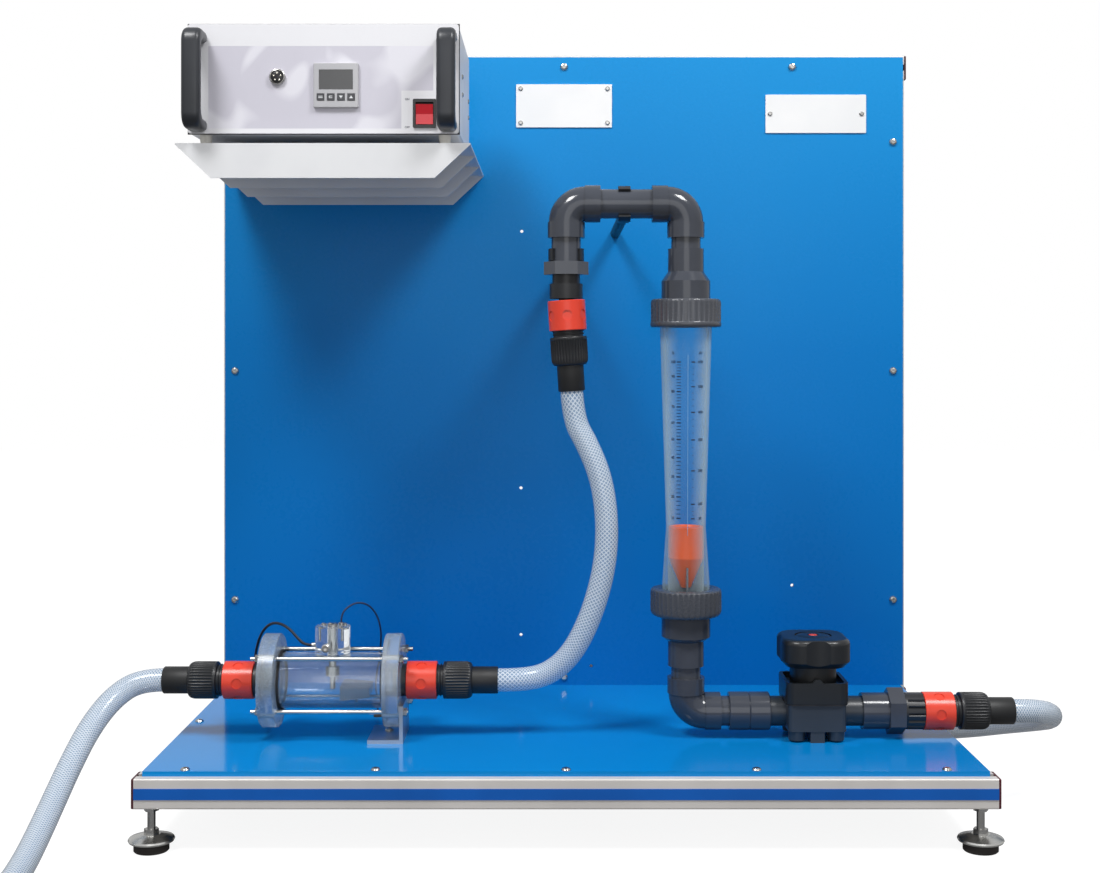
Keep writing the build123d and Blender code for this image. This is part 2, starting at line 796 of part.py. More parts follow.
# Round sensor socket with five contacts
socket_plane = on_fascia(socket_place)
socket_floor = 4 - socket_depth
with BuildPart() as sensor_socket:
    shell, rim, bore = socket_barrel / 2, socket_flange / 2, socket_bore / 2
    turn([(0, -socket_depth), (shell, -socket_depth), (shell, 0), (rim, 0), (rim, 1), (rim - 0.6, 1.6),
          (bore, 1.6), (bore, socket_floor), (0, socket_floor)], socket_plane)
sensor_socket.part.label = "sensor_socket"
export_step(sensor_socket.part, "parts/sensor_socket.step")

with BuildPart() as socket_pins:
    with BuildSketch(socket_plane.offset(socket_floor)):
        with PolarLocations(pin_circle / 2, 5, start_angle=90):
            Circle(pin_diameter / 2)
    extrude(amount=pin_length)
socket_pins.part.label = "socket_pins"
export_step(socket_pins.part, "parts/socket_pins.step")

# Mains inlet in the rear wall, with its three blades
with BuildPart() as mains_inlet:
    inlet_rim = 3.0
    block(inlet_plane, inlet_flange[0], inlet_flange[1], 0, inlet_rim, corner=6)
    block(inlet_plane, inlet_body[0], inlet_body[1], -inlet_depth, 0)
    block(inlet_plane, inlet_mouth[0], inlet_mouth[1], inlet_rim - inlet_depth, inlet_rim, Mode.SUBTRACT)
    with BuildSketch(inlet_plane.offset(inlet_rim - inlet_depth)):
        with Locations((-blade_pitch, 2), (0, -2), (blade_pitch, 2)):
            Rectangle(blade_size[0], blade_size[1])
    extrude(amount=blade_length)
mains_inlet.part.label = "mains_inlet"
export_step(mains_inlet.part, "parts/mains_inlet.step")

# Vortex meter: two clear flanges clamp a clear tube with four tie rods
meter_line = facing(0, pipe_y, axis_z, "+x")
tube_start = flange_left + flange_thickness - tube_seat
rod_offset = rod_circle / 2 * sin(radians(45))
rod_spots = [(a * rod_offset, b * rod_offset) for a in (-1, 1) for b in (-1, 1)]
with BuildPart() as end_flanges:
    for start in (flange_left, flange_right):
        edge = flange_diameter / 2
        turn([(nipple_thread / 2 + glue_play, start), (edge - 1, start), (edge, start + 1),
              (edge, start + flange_thickness - 1), (edge - 1, start + flange_thickness),
              (nipple_thread / 2 + glue_play, start + flange_thickness)], meter_line)
    for y, z in rod_spots:
        rod(facing(0, pipe_y + y, axis_z + z, "+x"), rod_diameter + 2 * fit_play, flange_left - 1,
            meter_end + 1, Mode.SUBTRACT)
    rod(meter_line, tube_outer + 2 * glue_play, tube_start, tube_start + tube_length, Mode.SUBTRACT)
end_flanges.part.label = "end_flanges"
export_step(end_flanges.part, "parts/end_flanges.step")

head_seat = axis_z + tube_outer / 2
with BuildPart() as clear_tube:
    ring(meter_line, tube_inner, tube_outer, tube_start, tube_start + tube_length)
    rod(facing(head_x, pipe_y, axis_z, "+z"), probe_diameter + 2 * slide_play, 0, tube_outer, Mode.SUBTRACT)
    rod(facing(shedder_x, pipe_y, axis_z, "-z"), shedder_pin + 2 * slide_play, 0, tube_outer, Mode.SUBTRACT)
clear_tube.part.label = "clear_tube"
export_step(clear_tube.part, "parts/clear_tube.step")

with BuildPart() as tie_rods:
    for y, z in rod_spots:
        rod(facing(0, pipe_y + y, axis_z + z, "+x"), rod_diameter, flange_left - rod_proud,
            meter_end + rod_proud)
    for y, z in rod_spots:
        along = facing(0, pipe_y + y, axis_z + z, "+x")
        seat = meter_end + angle_wall if z < 0 else meter_end
        hexagon(along, rod_nut, flange_left - rod_nut_height, flange_left, rod_diameter + thread_play)
        hexagon(along, rod_nut, seat, seat + rod_nut_height, rod_diameter + thread_play)
tie_rods.part.label = "tie_rods"
export_step(tie_rods.part, "parts/tie_rods.step")

# Bent angle that holds the right flange on the base plate
with BuildPart() as meter_bracket:
    angle_out = meter_end + angle_wall
    with BuildSketch(facing(0, pipe_y + angle_width / 2, plate_top, "-y")):
        with BuildLine():
            Polyline((angle_out, 0), (angle_out, angle_height), (meter_end, angle_height),
                     (meter_end, angle_wall), (angle_out - angle_reach, angle_wall),
                     (angle_out - angle_reach, 0), close=True)
        make_face()
    extrude(amount=angle_width)
    for y in (-rod_offset, rod_offset):
        rod(facing(0, pipe_y + y, axis_z - rod_offset, "+x"), rod_diameter + 2 * fit_play, meter_end - 1,
            angle_out + 1, Mode.SUBTRACT)
    rod(facing(angle_screw[0], angle_screw[1], plate_top, "+z"), screw_hole, -1, angle_wall + 1,
        Mode.SUBTRACT)
meter_bracket.part.label = "meter_bracket"
export_step(meter_bracket.part, "parts/meter_bracket.step")

# Clear sensor head with a neck that sits on the tube like a saddle
head_plane = facing(head_x, pipe_y, head_seat, "+z")
port_plane = facing(head_x - port_offset, pipe_y - head_diameter / 2, head_seat + port_rise, "-y")
side_gland = facing(head_x - head_diameter / 2, pipe_y, head_seat + port_rise, "-x")
top_gland = facing(head_x + gland_offset[0], pipe_y + gland_offset[1], head_seat + head_height, "+z")
with BuildPart() as sensor_head:
    rod(head_plane, head_neck, -tube_outer / 4, 1)
    rod(meter_line, tube_outer + 2 * glue_play, tube_start, tube_start + tube_length, Mode.SUBTRACT)
    rod(head_plane, head_diameter, fit_play, head_height)
    rod(head_plane, probe_diameter + 2 * slide_play, -tube_outer / 4, head_height + 1, Mode.SUBTRACT)
    with BuildSketch(head_plane.offset(head_height)):
        with PolarLocations(head_screw_circle / 2, 4, start_angle=45):
            Circle(small_shank / 2 + slide_play)
    extrude(amount=-head_screw_depth, mode=Mode.SUBTRACT)
    rod(port_plane, port_diameter + 2 * slide_play, -port_depth, 1, Mode.SUBTRACT)
    for place in (side_gland, top_gland):
        rod(place, gland_thread + 2 * slide_play, -gland_length, 1, Mode.SUBTRACT)
sensor_head.part.label = "sensor_head"
export_step(sensor_head.part, "parts/sensor_head.step")

# Button-head screws of the plates, panel and shelf, and small screws of the plates, case and head
with BuildPart() as screws:
    for x, z in panel_spots:
        button_screw(facing(x, panel_front, z, "-y"))
    for x, z in shelf_spots:
        button_screw(facing(x, panel_front - shelf_sheet, z, "-y"))
    for x, y in base_spots:
        button_screw(facing(x, y, plate_top, "+z"))
    button_screw(facing(angle_screw[0], angle_screw[1], plate_top + angle_wall, "+z"))
    for x, z in plate_spots:
        small_screw(facing(x, panel_front - plate_sheet, z, "-y"))
    for place in case_screw_places:
        small_screw(place)
    for screw_angle in (45, 135, 225, 315):
        small_screw(facing(head_x + head_screw_circle / 2 * cos(radians(screw_angle)),
                           pipe_y + head_screw_circle / 2 * sin(radians(screw_angle)),
                           head_seat + head_height, "+z"), head_screw_depth - 1)
screws.part.label = "screws"
export_step(screws.part, "parts/screws.step")

with BuildPart() as sensor_probe:
    stem = probe_diameter / 2
    boss, boss_height = probe_boss[0] / 2, probe_boss[1]
    tip, tip_length = probe_tip[0] / 2, probe_tip[1]
    boss_top = tube_inner / 2 - tube_outer / 2 - probe_reach
    boss_low = boss_top - boss_height
    cap_top = head_height + 3
    turn([(0, boss_low - tip_length), (tip - 1, boss_low - tip_length), (tip, boss_low - tip_length + 1),
          (tip, boss_low), (boss, boss_low), (boss, boss_top), (stem, boss_top), (stem, head_height),
          (probe_cap / 2, head_height), (probe_cap / 2, cap_top), (stem, cap_top + 1),
          (0, cap_top + 1)], head_plane)
sensor_probe.part.label = "sensor_probe"
export_step(sensor_probe.part, "parts/sensor_probe.step")

with BuildPart() as head_fittings:
    port = port_diameter / 2
    turn([(0, -port_depth), (port, -port_depth), (port, 2), (port - 1, 3), (port / 2, 3), (port / 2, -2),
          (0, -2)],
         port_plane)
    for place, low in ((side_gland, fit_play), (top_gland, 0)):
        rod(place, gland_thread, -gland_length, low)
        rod(place, gland_nut, low, gland_length)
head_fittings.part.label = "head_fittings"
export_step(head_fittings.part, "parts/head_fittings.step")

# Bluff bar across the tube, held by a pin through the wall below
with BuildPart() as shedder_bar:
    chord = sqrt((tube_inner / 2) ** 2 - (shedder_drop + shedder_height / 2) ** 2) - float_play
    blunt, tail = shedder_height / 2, shedder_tail / 2
    with BuildSketch(facing(shedder_x - shedder_length / 2, pipe_y + chord, axis_z - shedder_drop, "-y")):
        with BuildLine():
            Polyline((0, -blunt), (shedder_face, -blunt), (shedder_length, -tail), (shedder_length, tail),
                     (shedder_face, blunt), (0, blunt), close=True)
        make_face()
    extrude(amount=2 * chord)
    rod(facing(shedder_x, pipe_y, axis_z - shedder_drop, "-z"), shedder_pin, 0, tube_outer / 2 - shedder_drop)
shedder_bar.part.label = "shedder_bar"
export_step(shedder_bar.part, "parts/shedder_bar.step")

# The four hose couplings: each place is a nipple's face, with local Z towards the hose
end_socket_x = valve_x + valve_block / 2 + valve_spigot - socket_seat
end_hex_x = end_socket_x + end_socket[1]
end_seat_x = end_hex_x + end_hex[1]
adaptor_z = plate_top + adaptor_height
upper_face = adaptor_z - leg_collar[1] - leg_ring[1]
tilt = radians(coupling_tilt)
inlet_site = facing(flange_left - inlet_collar, pipe_y, axis_z, "-x")
meter_site = facing(meter_end + outlet_collar, pipe_y, axis_z, "+x")
upper_site = Plane(origin=(left_leg_x, pipe_y, upper_face - coupling_gap), x_dir=(0, 1, 0),
                   z_dir=(sin(tilt), 0, -cos(tilt)))
outlet_site = facing(end_seat_x + end_collar[1], pipe_y, low_z, "+x")


def nipple(site, collars):
    """A hollow spigot with a catch groove, behind it collars of (diameter, length), last the thread."""
    outer, bore = spigot_outer / 2, nipple_bore / 2
    turn([(bore, 0), (outer, 0), (outer, 4), (outer - 1, 4.6), (outer - 1, 7), (outer, 7.6),
          (outer, spigot_length), (bore, spigot_length)], site)
    level = 0
    for diameter, length in collars:
        ring(site, nipple_bore, diameter, level - length, level)
        level -= length


with BuildPart() as coupling_nipples:
    nipple(inlet_site, [(collar_outer, inlet_collar), (nipple_thread, nipple_seat)])
    nipple(meter_site, [(collar_outer, outlet_collar), (nipple_thread, nipple_seat)])
    nipple(outlet_site, [end_collar, (nipple_thread, nipple_seat)])
    grooves(outlet_site, end_collar[0], 3 - end_collar[1], 0, hose_nut_ribs)
    # The upper nipple stands upright in the leg; its spigot leans with the hose
    nipple(upper_site, [(spigot_outer, coupling_gap + 1)])
    leg = facing(left_leg_x, pipe_y, upper_face, "+z")
    ring(leg, nipple_bore, leg_ring[0], 0, leg_ring[1])
    ring(leg, nipple_bore, leg_collar[0], leg_ring[1], leg_ring[1] + leg_collar[1])
    ring(leg, nipple_bore, nipple_thread, adaptor_z - upper_face, adaptor_z - upper_face + adaptor_thread)
    rod(upper_site, nipple_bore, -coupling_gap - 2, spigot_length, Mode.SUBTRACT)
coupling_nipples.part.label = "coupling_nipples"
export_step(coupling_nipples.part, "parts/coupling_nipples.step")


def sleeve(site, phase):
    """Sliding release sleeve with six round finger dimples."""
    inner, outer = coupling_body / 2 + slide_play, sleeve_outer / 2
    turn([(inner, sleeve_gap), (outer - 0.6, sleeve_gap), (outer, sleeve_gap + 0.6),
          (outer, sleeve_length - 0.6), (outer - 0.6, sleeve_length), (inner, sleeve_length)], site)
    for i in range(6):
        angle = radians(phase + 60 * i)
        out = site.x_dir * cos(angle) + site.y_dir * sin(angle)
        middle = site.origin + site.z_dir * ((sleeve_gap + sleeve_length) / 2)
        rod(Plane(origin=middle, x_dir=site.z_dir, z_dir=out), dimple_diameter, outer - dimple_depth,
            outer + 1, Mode.SUBTRACT)


with BuildPart() as sleeve_inlet:
    sleeve(inlet_site, 30)
sleeve_inlet.part.label = "sleeve_inlet"
export_step(sleeve_inlet.part, "parts/sleeve_inlet.step")

with BuildPart() as sleeve_meter_outlet:
    sleeve(meter_site, 30)
sleeve_meter_outlet.part.label = "sleeve_meter_outlet"
export_step(sleeve_meter_outlet.part, "parts/sleeve_meter_outlet.step")

with BuildPart() as sleeve_upper:
    sleeve(upper_site, 0)
sleeve_upper.part.label = "sleeve_upper"
export_step(sleeve_upper.part, "parts/sleeve_upper.step")

with BuildPart() as sleeve_outlet:
    sleeve(outlet_site, 30)
sleeve_outlet.part.label = "sleeve_outlet"
export_step(sleeve_outlet.part, "parts/sleeve_outlet.step")

# Solvent-welded elbows: a round bend between two sockets
arms = (facing(0, 0, 0, "+x"), facing(0, 0, 0, "+z"))
bend_axis = Axis((elbow_bend, 0, elbow_bend), (0, 1, 0))
with BuildPart() as elbow:
    with BuildSketch(arms[0].offset(elbow_bend)):
        Circle(elbow_section / 2)
    revolve(axis=bend_axis, revolution_arc=90)
    for arm in arms:
        rod(arm, socket_outer, elbow_bend, elbow_arm)
    with BuildSketch(arms[0].offset(elbow_bend)):
        Circle(pipe_bore / 2)
    revolve(axis=bend_axis, revolution_arc=90, mode=Mode.SUBTRACT)
    for arm in arms:
        rod(arm, pipe_diameter + 2 * glue_play, elbow_arm - socket_seat, elbow_arm + 1, Mode.SUBTRACT)

# Pipe fittings: the elbows, the adaptor under the left leg, the coupler before the valve, the socket behind
coupler_x = valve_x - valve_block / 2 - valve_spigot - 1 - coupler_length / 2
coupler_middle = coupler_x + coupler_length / 2
pipe_seat = pipe_diameter / 2 + glue_play
top_line = facing(0, pipe_y, high_z, "+x")
low_line = facing(0, pipe_y, low_z, "+x")
left_line = facing(left_leg_x, pipe_y, 0, "+z")
right_line = facing(right_leg_x, pipe_y, plate_top, "+z")
with BuildPart() as pipe_fittings:
    with Locations(Plane((left_leg_x, pipe_y, high_z), x_dir=(0, 0, -1), z_dir=(1, 0, 0)),
                   Plane((right_leg_x, pipe_y, high_z), x_dir=(-1, 0, 0), z_dir=(0, 0, -1)),
                   Plane((right_leg_x, pipe_y, low_z), x_dir=(1, 0, 0), z_dir=(0, 0, 1))):
        add(elbow.part)
    under_leg = facing(left_leg_x, pipe_y, adaptor_z, "+z")
    hexagon(under_leg, adaptor_hex, 0, adaptor_length)
    rod(under_leg, nipple_thread + 2 * glue_play, 0, adaptor_thread, Mode.SUBTRACT)
    rod(under_leg, 2 * pipe_seat, adaptor_thread, adaptor_length, Mode.SUBTRACT)
    rim, edge = coupler_outer / 2, 0.8
    stop_low, stop_high = coupler_middle - coupler_stop / 2, coupler_middle + coupler_stop / 2
    coupler_end = coupler_x + coupler_length
    turn([(pipe_seat, coupler_x), (rim - edge, coupler_x), (rim, coupler_x + edge), (rim, stop_low),
          (rim - edge, coupler_middle), (rim, stop_high), (rim, coupler_end - edge),
          (rim - edge, coupler_end), (pipe_seat, coupler_end), (pipe_seat, stop_high),
          (pipe_bore / 2, stop_high), (pipe_bore / 2, stop_low), (pipe_seat, stop_low)], low_line)
    ring(low_line, pipe_bore, end_socket[0], end_socket_x, end_hex_x)
    hexagon(low_line, end_hex[0], end_hex_x, end_seat_x, nipple_thread + 2 * glue_play)
    rod(low_line, 2 * pipe_seat, end_socket_x - 1, end_socket_x + socket_seat, Mode.SUBTRACT)
pipe_fittings.part.label = "pipe_fittings"
export_step(pipe_fittings.part, "parts/pipe_fittings.step")

# Straight pipes between the fittings
high_flange = cone_top + high_flange_length
high_collar = high_flange + high_collar_length
high_mouth = high_collar + union_cone + union_socket
elbow_stop = elbow_arm - socket_seat
with BuildPart() as pipes:
    ring(top_line, pipe_bore, pipe_diameter, left_leg_x + elbow_stop, right_leg_x - elbow_stop)
    ring(left_line, pipe_bore, pipe_diameter, adaptor_z + adaptor_thread, high_z - elbow_stop)
    ring(right_line, pipe_bore, pipe_diameter, high_mouth - socket_seat, high_axis - elbow_stop)
    ring(right_line, pipe_bore, pipe_diameter, low_axis + elbow_stop, low_socket + socket_seat)
    ring(low_line, pipe_bore, pipe_diameter, right_leg_x + elbow_stop, coupler_middle - coupler_stop / 2)
pipes.part.label = "pipes"
export_step(pipes.part, "parts/pipes.step")


def pipe_clip(place, drop):
    """Open-jaw clip round the local Z, with its back and a standoff rod towards the panel on local X."""
    inner = pipe_diameter / 2 + clip_play
    outer = inner + clip_wall
    wedge = radians(clip_opening / 2)
    with BuildSketch(place.offset(-clip_width / 2)) as jaw:
        Circle(outer)
        with Locations(((outer + clip_block) / 2, -drop)):
            Rectangle(outer + clip_block, clip_width)
        Circle(inner, mode=Mode.SUBTRACT)
        with BuildLine():
            Polyline((0, 0), (-2 * outer * cos(wedge), 2 * outer * sin(wedge)),
                     (-2 * outer * cos(wedge), -2 * outer * sin(wedge)), close=True)
        make_face(mode=Mode.SUBTRACT)
    extrude(jaw.sketch, amount=clip_width)
    foot = place.origin - place.y_dir * drop
    rod(facing(foot.X, 0, foot.Z, "+y"), clip_rod, pipe_y + outer + clip_block, panel_front)


with BuildPart() as pipe_clips:
    pipe_clip(Plane((clip_x, pipe_y, high_z), x_dir=(0, 1, 0), z_dir=(1, 0, 0)), clip_drop)
    pipe_clip(Plane((left_leg_x, pipe_y, plate_top + leg_clip_height), x_dir=(0, 1, 0), z_dir=(0, 0, 1)), 0)
pipe_clips.part.label = "pipe_clips"
export_step(pipe_clips.part, "parts/pipe_clips.step")

# Variable-area meter: moulded clear tube with a collar at each end
low_collar_top = cone_bottom + cone_collar_height
high_collar_low = cone_top - cone_collar_height
with BuildPart() as rotameter_tube:
    turn([(cone_bore / 2, cone_bottom), (cone_collar / 2, cone_bottom), (cone_collar / 2, low_collar_top),
          (cone_foot / 2, low_collar_top), (cone_foot / 2, cone_foot_top),
          (cone_waist / 2, cone_waist_height), (cone_mouth / 2, cone_mouth_height),
          (cone_mouth / 2, high_collar_low), (cone_collar / 2, high_collar_low), (cone_collar / 2, cone_top),
          (cone_bore_top / 2, cone_top), (cone_bore / 2, cone_waist_height)], right_line)
rotameter_tube.part.label = "rotameter_tube"
export_step(rotameter_tube.part, "parts/rotameter_tube.step")

float_radius = cone_bore / 2 - float_play
with BuildPart() as rotameter_float:
    turn([(0, float_bottom), (float_tip / 2, float_bottom), (float_radius, float_shoulder),
          (float_radius, float_top - 1), (float_radius - 1, float_top), (float_radius - 4, float_top),
          (float_radius - 5, float_top - 2), (0, float_top - 2)], right_line)
rotameter_float.part.label = "rotameter_float"
export_step(rotameter_float.part, "parts/rotameter_float.step")

# Finned stop under the float: crossed fins cut to the float's cone, on a ring
with BuildPart() as float_stop:
    fin_slope = (float_radius - float_tip / 2) / (float_shoulder - float_bottom)
    fin_mouth = float_tip / 2 + fin_slope * (stop_fin_top - float_bottom) + 2 * float_play
    fin_seat = float_tip / 2 + float_play
    fin_radius = cone_bore / 2 - glue_play
    for angle in (0, 90):
        across = (cos(radians(angle)), sin(radians(angle)), 0)
        fin_plane = Plane(right_line.origin, x_dir=across, z_dir=(across[1], -across[0], 0))
        with BuildSketch(fin_plane.offset(-stop_fin / 2)):
            with BuildLine():
                Polyline((-fin_radius, cone_bottom), (fin_radius, cone_bottom), (fin_radius, stop_fin_top),
                         (fin_mouth, stop_fin_top), (fin_seat, float_bottom - float_play),
                         (-fin_seat, float_bottom - float_play), (-fin_mouth, stop_fin_top),
                         (-fin_radius, stop_fin_top), close=True)
            make_face()
        extrude(amount=stop_fin)
    ring(right_line, 2 * fin_radius - 4, 2 * fin_radius, cone_bottom, low_collar_top)
float_stop.part.label = "float_stop"
export_step(float_stop.part, "parts/float_stop.step")

# Reducers above and below the meter, each with a flange inside the union nut
low_flange = cone_bottom - low_flange_length
low_collar = low_flange - low_collar_length
seal_in = cone_mouth / 2 - seal_inset
with BuildPart() as union_reducers:
    rim, collar, mouth = cone_collar / 2, union_collar / 2, end_socket[0] / 2
    turn([(cone_bore_top / 2, cone_top), (rim, cone_top), (rim, high_flange), (collar, high_flange),
          (collar, high_collar), (mouth, high_collar + union_cone), (mouth, high_mouth),
          (pipe_seat, high_mouth), (pipe_seat, high_mouth - socket_seat),
          (pipe_bore / 2, high_mouth - socket_seat), (pipe_bore / 2, high_collar),
          (cone_bore_top / 2, high_flange)], right_line)
    turn([(cone_bore / 2, cone_bottom), (rim, cone_bottom), (rim, low_flange), (collar, low_flange),
          (collar, low_collar + 2), (collar - 2, low_collar), (mouth, low_collar - 3), (mouth, low_socket),
          (pipe_seat, low_socket), (pipe_seat, low_socket + socket_seat),
          (pipe_bore / 2, low_socket + socket_seat), (cone_bore / 2, low_flange)], right_line)
    for level, deep in ((cone_top, seal_height), (cone_bottom, -seal_height)):
        turn([(seal_in, level), (seal_in + seal_width, level), (seal_in + seal_width, level + deep),
              (seal_in, level + deep)], right_line, Mode.SUBTRACT)
union_reducers.part.label = "union_reducers"
export_step(union_reducers.part, "parts/union_reducers.step")

# Ribbed union nuts, each with a lip behind the tube's collar
with BuildPart() as union_nuts:
    inner, outer = cone_collar / 2 + glue_play, nut_diameter / 2
    high_lip, low_lip = cone_mouth / 2 + 0.5, cone_foot / 2 + 0.5
    high_low, low_high = high_collar_low - nut_lip, low_collar_top + nut_lip
    turn([(high_lip, high_low), (outer - nut_edge, high_low), (outer, high_low + nut_edge),
          (outer, high_flange - nut_edge), (outer - nut_edge, high_flange), (inner, high_flange),
          (inner, high_collar_low), (high_lip, high_collar_low)], right_line)
    turn([(inner, low_flange), (outer - nut_round, low_flange),
          (outer - nut_round * 0.3, low_flange + nut_round * 0.4), (outer, low_flange + nut_round),
          (outer, low_high - nut_edge), (outer - nut_edge, low_high), (low_lip, low_high),
          (low_lip, low_collar_top), (inner, low_collar_top)], right_line)
    grooves(right_line, nut_diameter, high_low, high_flange, nut_ribs)
    grooves(right_line, nut_diameter, low_flange, low_high, nut_ribs)
union_nuts.part.label = "union_nuts"
export_step(union_nuts.part, "parts/union_nuts.step")

# Diaphragm valve: square body with spigots, a foot, a weir and an open chamber above it
valve_plane = facing(valve_x, pipe_y, plate_top, "+z")
with BuildPart() as valve_body:
    block(valve_plane, valve_block, valve_block, valve_block_bottom, valve_block_top, corner=valve_corner)
    block(valve_plane, valve_foot, valve_foot_length, 0, valve_block_bottom)
    for way in ("-x", "+x"):
        side = facing(valve_x, pipe_y, low_z, way)
        spigot_end = valve_block / 2 + valve_spigot
        rod(side, pipe_diameter, 0, spigot_end)
        rod(side, valve_bore, weir_foot * 2, spigot_end, Mode.SUBTRACT)
    block(valve_plane, bonnet_size + 1, bonnet_size + 1, valve_block_top, valve_block_top + pipe_diameter,
          Mode.SUBTRACT)
    with BuildSketch(valve_plane.offset(valve_block_top)):
        Ellipse(valve_chamber[0] / 2, valve_chamber[1] / 2)
    extrude(amount=low_axis - valve_block_top, mode=Mode.SUBTRACT)
    with BuildSketch(facing(valve_x, pipe_y + valve_chamber[1] / 2 - 1, plate_top, "-y")):
        with BuildLine():
            Polyline((-weir_foot, low_axis - 1), (weir_foot, low_axis - 1), (weir_crest, weir_top),
                     (-weir_crest, weir_top), close=True)
        make_face()
    extrude(amount=valve_chamber[1] - 2)
    with BuildSketch(valve_plane.offset(valve_block_bottom)):
        with GridLocations(2 * bolt_cap_offset, 2 * bolt_cap_offset, 2, 2):
            Circle(bolt_cap / 2)
    extrude(amount=-bolt_cap_drop, taper=4)
valve_body.part.label = "valve_body"
export_step(valve_body.part, "parts/valve_body.step")

# Rubber seals: round section at the clear tube's ends, flat in the unions, and the valve's diaphragm
bonnet_low = valve_block_top + diaphragm_thickness
with BuildPart() as rubber_seals:
    for x in (flange_left + flange_thickness + seal_section / 2, flange_right - seal_section / 2):
        with BuildSketch(Plane(origin=(x, pipe_y, axis_z), x_dir=(0, 0, 1), z_dir=(0, 1, 0))):
            with Locations((tube_outer / 2 + glue_play + seal_section / 2, 0)):
                Circle(seal_section / 2)
        revolve(axis=Axis((x, pipe_y, axis_z), (1, 0, 0)))
    inner, outer = 2 * (seal_in + glue_play), 2 * (seal_in + seal_width - glue_play)
    ring(right_line, inner, outer, cone_top, cone_top + seal_height)
    ring(right_line, inner, outer, cone_bottom - seal_height, cone_bottom)
    block(valve_plane, bonnet_size - 1, bonnet_size - 1, valve_block_top, bonnet_low, corner=bonnet_corner)
rubber_seals.part.label = "rubber_seals"
export_step(rubber_seals.part, "parts/rubber_seals.step")

# Bonnet with a moat round its neck and a lug at the front
bonnet_edge = bonnet_low + bonnet_height
with BuildPart() as valve_bonnet:
    inside = bonnet_size - 2 * bonnet_wall
    cavity_top = bonnet_low + compressor_height + spindle_travel + 1
    block(valve_plane, bonnet_size, bonnet_size, bonnet_low, bonnet_edge, corner=bonnet_corner)
    block(valve_plane, inside, inside, bonnet_edge - bonnet_recess, bonnet_edge, Mode.SUBTRACT,
          bonnet_corner - bonnet_wall)
    rod(valve_plane, bonnet_neck, bonnet_edge - bonnet_recess, bonnet_top)
    rod(facing(valve_x, pipe_y, plate_top + bonnet_edge - 2, "-y"), bonnet_lug, bonnet_size / 2 - bonnet_wall,
        bonnet_size / 2)
    rod(valve_plane, compressor_diameter + 2 * float_play, bonnet_low, cavity_top, Mode.SUBTRACT)
    rod(valve_plane, spindle_diameter + 2 * slide_play, bonnet_low, bonnet_top, Mode.SUBTRACT)
valve_bonnet.part.label = "valve_bonnet"
export_step(valve_bonnet.part, "parts/valve_bonnet.step")

wheel_low = bonnet_top + wheel_gap
wheel_top = wheel_low + wheel_height
with BuildPart() as handwheel:
    with BuildSketch(valve_plane.offset(wheel_low)):
        RectangleRounded(wheel_size - 2 * wheel_round, wheel_size - 2 * wheel_round,
                         wheel_corner - wheel_round)
    with BuildSketch(valve_plane.offset(wheel_low + wheel_round)):
        RectangleRounded(wheel_size, wheel_size, wheel_corner)
    loft()
    block(valve_plane, wheel_size, wheel_size, wheel_low + wheel_round, wheel_top, corner=wheel_corner)
    fillet(faces().sort_by(Axis.Z)[-1].edges(), radius=wheel_round)
    with BuildSketch(valve_plane.offset(wheel_top)):
        with PolarLocations(wheel_size * 0.9 - wheel_scallop, 4):
            Circle(wheel_size * 0.4)
    extrude(amount=-wheel_height, mode=Mode.SUBTRACT)
    rod(valve_plane, wheel_recess[0], wheel_top - wheel_recess[1], wheel_top, Mode.SUBTRACT)
    rod(valve_plane, spindle_diameter + 2 * slide_play, wheel_low, wheel_top, Mode.SUBTRACT)
handwheel.part.label = "handwheel"
export_step(handwheel.part, "parts/handwheel.step")

# Spindle with the compressor that presses on the diaphragm and an indicator tip in the wheel
with BuildPart() as valve_spindle:
    disc, stem = compressor_diameter / 2, spindle_diameter / 2
    disc_low, disc_top = bonnet_low + float_play, bonnet_low + compressor_height
    tip_top = wheel_top - wheel_recess[1] + indicator_rise
    turn([(0, disc_low), (disc - 4, disc_low), (disc, disc_low + 3), (disc, disc_top), (stem, disc_top),
          (stem, tip_top - 1), (stem - 1, tip_top), (0, tip_top)], valve_plane)
valve_spindle.part.label = "valve_spindle"
export_step(valve_spindle.part, "parts/valve_spindle.step")

# Rubber grommets where the two sensor leads pass the base plate
with BuildPart() as cable_grommets:
    body, collar = grommet_diameter / 2, grommet_flange / 2
    for (x, y), wire in zip(wire_holes, (left_wire, right_wire)):
        bore = wire / 2 + slide_play
        turn([(0, -plate_thickness - 1), (body, -plate_thickness - 1), (body, 0), (collar, 0), (collar, 1),
              (collar - 1, 2), (bore, 2), (bore, -wire_depth), (0, -wire_depth)], facing(x, y, plate_top,
              "+z"))
cable_grommets.part.label = "cable_grommets"
export_step(cable_grommets.part, "parts/cable_grommets.step")


def cord(name, points, diameter):
    """A cord's tube in the open part: straight runs joined by tangent arcs."""
    runs = [Vector(*b) - Vector(*a) for a, b in zip(points, points[1:])]
    turns = [before.get_angle(after) for before, after in zip(runs, runs[1:])]
    radii = []
    for before, after, angle in zip(runs, runs[1:], turns):
        radii.append(0.45 * min(before.length, after.length) / tan(radians(angle / 2)))
    with BuildLine() as path:
        FilletPolyline(*points, radius=radii)
    with BuildSketch(Plane(origin=points[0], z_dir=runs[0])) as section:
        Circle(diameter / 2)
    sweep(section.sketch, path=path.wire())
    length = path.wire().length
    print(name, "length", round(length), "volume", round(length * pi * diameter ** 2 / 4))
    print("  radii", [round(r) for r in radii])
    print("  runs", [round(r.length) for r in runs], "turns", [round(a) for a in turns])


def hose_port(site, distance=0.0):
    """A point on the axis of a hose at some distance from the end of its connector's tail."""
    return tuple(site.origin + site.z_dir * (coupling_length + distance))


